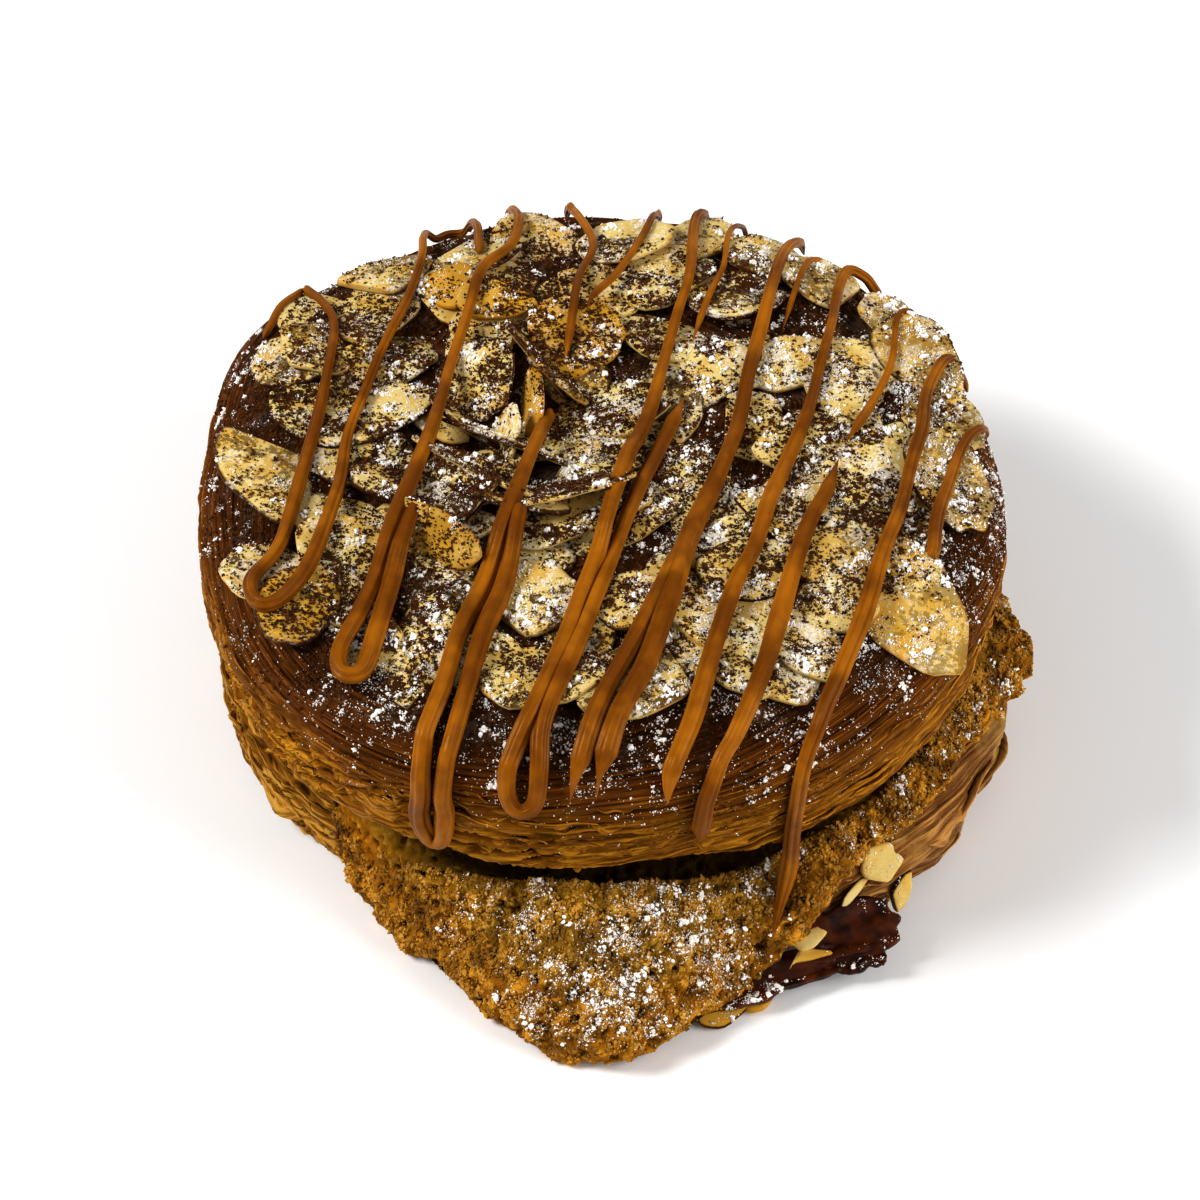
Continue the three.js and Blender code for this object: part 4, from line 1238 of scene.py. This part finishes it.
def creamFinish():
    # paler near the croissant, more baked at the rim, darker in the pits partly as painted shade, and
    # painted shade, a near-black brown, in the groove and under the upper half's overhang
    finish = Finish("almondCreamFinish", creamTones["gloss"], Roughness=0.85, Specular_IOR_Level=0.05)
    relief, rim = finish.attribute("relief"), finish.attribute("rim")
    fine = finish.noise(650, 4, 0.7)
    # the relief darkens the pits between crumbs: painted shade, mixed with fine noise of the cream's own
    # tone
    level = relief * 0.85 + fine * 0.7 - 0.3
    inner = finish.threeTones(level, 0.5, 0.95, *creamTones["inner"])
    outer = finish.threeTones(level, 0.5, 0.95, *creamTones["outer"])
    baked = (rim * 0.8 + finish.noise(110, 3) * 0.9 - 0.45).between(0.2, 0.75)
    colour = finish.mix(baked, inner, outer)
    # painted shade: the groove and the cream under the overhang are mixed towards a near-black brown
    finish.use("Base Color", finish.mix(finish.attribute("grooveAndPaintedShade") * 0.92, colour, creamTones["grooveAndPaintedShade"]))
    finish.bump(fine + finish.noise(1500, 3) * 0.5, 0.8, 0.0006)
    return finish.material


almondTones = {
    "gloss": (255, 220, 150), "pale": ((216, 194, 128), (204, 168, 84)), "toasted": (198, 150, 44),
    "edge": (176, 114, 14), "skin": (60, 28, 8),
}


def almondFinish():
    # pale, toasted in clouds, browner at the edge, and some with skin on it
    finish = Finish("slicedAlmondFinish", almondTones["gloss"], Roughness=0.5, Specular_IOR_Level=0.16,
                    Subsurface_Weight=0.1, Subsurface_Scale=0.001)
    rim, toast = finish.attribute("rim"), finish.attribute("toast")
    cloudy = finish.noise(190, 4, 0.6)
    browned = (toast * 0.95 + cloudy * 0.9 - 0.6).between(0.1, 0.75)
    pale = finish.mix(finish.noise(240, 3).between(0.4, 0.65), *almondTones["pale"])
    colour = finish.mix(browned, pale, almondTones["toasted"])
    edge = (rim + toast * 0.25 + cloudy * 0.5 - 0.65).between(0.5, 1.0)
    colour = finish.mix(edge * 0.7, colour, almondTones["edge"])
    peel = finish.attribute("skin") * (rim + cloudy * 0.3).between(0.98, 1.12)
    colour = finish.mix(peel, colour, almondTones["skin"])
    dusty = finish.attribute("cocoaShare")
    finish.use("Base Color", finish.dusted(colour, dusty, dusty * 0.7))
    finish.bump(finish.noise(420, 4, 0.6), 0.3, 0.0004)
    return finish.material


caramelTones = {"gloss": (255, 200, 130), "clouds": ((112, 62, 4), (166, 104, 14))}


def caramelFinish():
    finish = Finish("caramelFinish", caramelTones["gloss"], Roughness=0.36, Specular_IOR_Level=0.2,
                    Subsurface_Weight=0.05, Subsurface_Scale=0.0008, Coat_Weight=0.04,
                    Coat_Roughness=0.12)
    finish.use("Base Color", finish.mix(finish.noise(90, 3).between(0.35, 0.7), *caramelTones["clouds"]))
    finish.bump(finish.noise(350, 2) + finish.noise(1400, 2) * 0.5, 0.3, 0.0004)
    return finish.material


# the small stuff: two colours, how fine their mottling is, and roughness
plainLooks = {
    "crumbFinish": ((110, 73, 14), (196, 148, 56), 240, 0.6),
    "burntFlakeFinish": ((34, 10, 4), (92, 42, 10), 260, 0.32),
    "icingSugarFinish": ((236, 232, 226), (252, 250, 247), 900, 0.8),
    "cocoaFinish": ((58, 30, 6), (100, 56, 16), 900, 0.85),
}


def plainFinish(name):
    dark, light, scale, roughness = plainLooks[name]
    finish = Finish(name, Roughness=roughness, Specular_IOR_Level=0.2)
    finish.use("Base Color", finish.mix(finish.noise(scale, 2).between(0.35, 0.65), dark, light))
    finish.bump(finish.noise(scale * 3, 2), 0.3, 0.0003)
    return finish.material


def dress(piece, material, slot, *nodes):
    keepInside(piece)
    piece.data.materials.clear()
    piece.data.materials.append(material)
    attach(piece, "root")
    if nodes:
        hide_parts(*nodes)


# the photo's view and light; a light is given as its place, size and watts
view = {
    "target": (0, 0, 0.033), "elevation": 46.0, "distance": 0.55, "lens": 116.6, "aimLower": 1.15,
    "keyLight": ((-0.8, -0.1, 0.8), 0.4, 12.6), "fillLight": ((1.0, -0.35, 0.62), 0.8, 13),
    "lightsAim": (0, 0, 0.02), "sky": 0.38, "floor": (246, 246, 246), "gamma": 0.82,
}


def makeCamera():
    camera = newObject("camera", bpy.data.cameras.new("camera"))
    up, down = math.radians(view["elevation"]), math.radians(view["elevation"] + view["aimLower"])
    back = Vector((0, -math.cos(up), math.sin(up)))
    camera.location = Vector(view["target"]) + back * view["distance"]
    camera.rotation_euler = (math.pi / 2 - down, 0, 0)
    camera.data.lens = view["lens"]
    camera.data.clip_start = 0.01
    bpy.context.scene.camera = camera


def makeFloor():
    pick()
    bpy.ops.mesh.primitive_plane_add(size=4)
    floor = bpy.context.object
    floor.name = "floor"
    finish = Finish("floorFinish", Base_Color=tone(*view["floor"]), Roughness=0.9)
    floor.data.materials.append(finish.material)


def makeLight(name):
    place, size, watts = view[name]
    lamp = bpy.data.lights.new(name, "AREA")
    lamp.shape = "SQUARE"
    lamp.size = size
    lamp.energy = watts
    light = newObject(name, lamp)
    light.location = place
    light.rotation_euler = (Vector(view["lightsAim"]) - Vector(place)).to_track_quat("-Z", "Y").to_euler()


def makeStage():
    makeCamera()
    makeFloor()
    makeLight("keyLight")
    makeLight("fillLight")
    world = bpy.data.worlds.new("studio")
    world.use_nodes = True
    sky = world.node_tree.nodes["Background"]
    sky.inputs["Color"].default_value = (1, 1, 1, 1)
    sky.inputs["Strength"].default_value = view["sky"]
    bpy.context.scene.world = world
    bpy.context.scene.view_settings.view_transform = "Standard"
    bpy.context.scene.view_settings.gamma = view["gamma"]


makeStage()
print("stage set")

crownCrust = makeCrown()
lowerCrust = makeLower()
creamFilling = makeCream()
crownFlakes = makeFlakes("crownFlakes", doughFlakes["crown"], treeOf(crownCrust))
lowerFlakes = makeFlakes("lowerFlakes", doughFlakes["lower"], treeOf(lowerCrust))
print("dough and cream shaped")

almondSlices = layAlmonds()
frontAlmonds, burntFlakes = makeFrontBits()
print("almonds laid")

allTree = treeOf(crownCrust, almondSlices, creamFilling, frontAlmonds, burntFlakes)
caramelStrands = makeCaramel(treeOf(crownCrust, creamFilling), allTree)
print("caramel poured")

crumbSpots = spotsOver(creamFilling, dust["crumbs"], crumbsWanted)
creamCrumbs = lumpsAt("creamCrumbs", octahedron(), crumbSpots, dust["crumbs"])
topTree = treeOf(crownCrust, almondSlices)
creamTree = treeOf(creamFilling, creamCrumbs, frontAlmonds, burntFlakes)
sugarSpots = np.vstack([scatterSpots(topTree, dust["sugar"], sugarWanted),
                        scatterSpots(creamTree, dust["creamSugar"], creamSugarWanted)])
icingSugar = lumpsAt("icingSugar", icosahedron(), sugarSpots, dust["sugar"])
dustSpots = np.vstack([scatterSpots(topTree, dust["sugarDust"], sugarWanted),
                       scatterSpots(creamTree, dust["creamSugarDust"], creamSugarWanted),
                       spotsOver(crownCrust, dust["sideSugar"], sideSugarWanted)])
sugarDust = lumpsAt("sugarDust", tetrahedron(), dustSpots, dust["sugarDust"])
cocoaSpots = scatterSpots(allTree, dust["cocoa"], cocoaWanted)
cocoaSpecks = lumpsAt("cocoaSpecks", tetrahedron(), cocoaSpots, dust["cocoa"])
print("dusted")

almondMaterial = almondFinish()
crownMaterial, lowerMaterial = crownFinish(), lowerFinish()
dress(crownCrust, crownMaterial, "upper_crust", "croissant_top")
dress(crownFlakes, crownMaterial, "upper_crust")
dress(lowerCrust, lowerMaterial, "lower_crust", "croissant_base")
dress(lowerFlakes, lowerMaterial, "lower_crust")
dress(creamFilling, creamFinish(), "almond_cream", "almond_cream")
dress(creamCrumbs, plainFinish("crumbFinish"), "almond_cream")
dress(almondSlices, almondMaterial, "upper_crust")
dress(frontAlmonds, almondMaterial, "almond_cream")
dress(burntFlakes, plainFinish("burntFlakeFinish"), "almond_cream")
dress(caramelStrands, caramelFinish(), "upper_crust")
white = plainFinish("icingSugarFinish")
dress(icingSugar, white, "upper_crust")
dress(sugarDust, white, "upper_crust")
dress(cocoaSpecks, plainFinish("cocoaFinish"), "upper_crust")
print("finishes on")
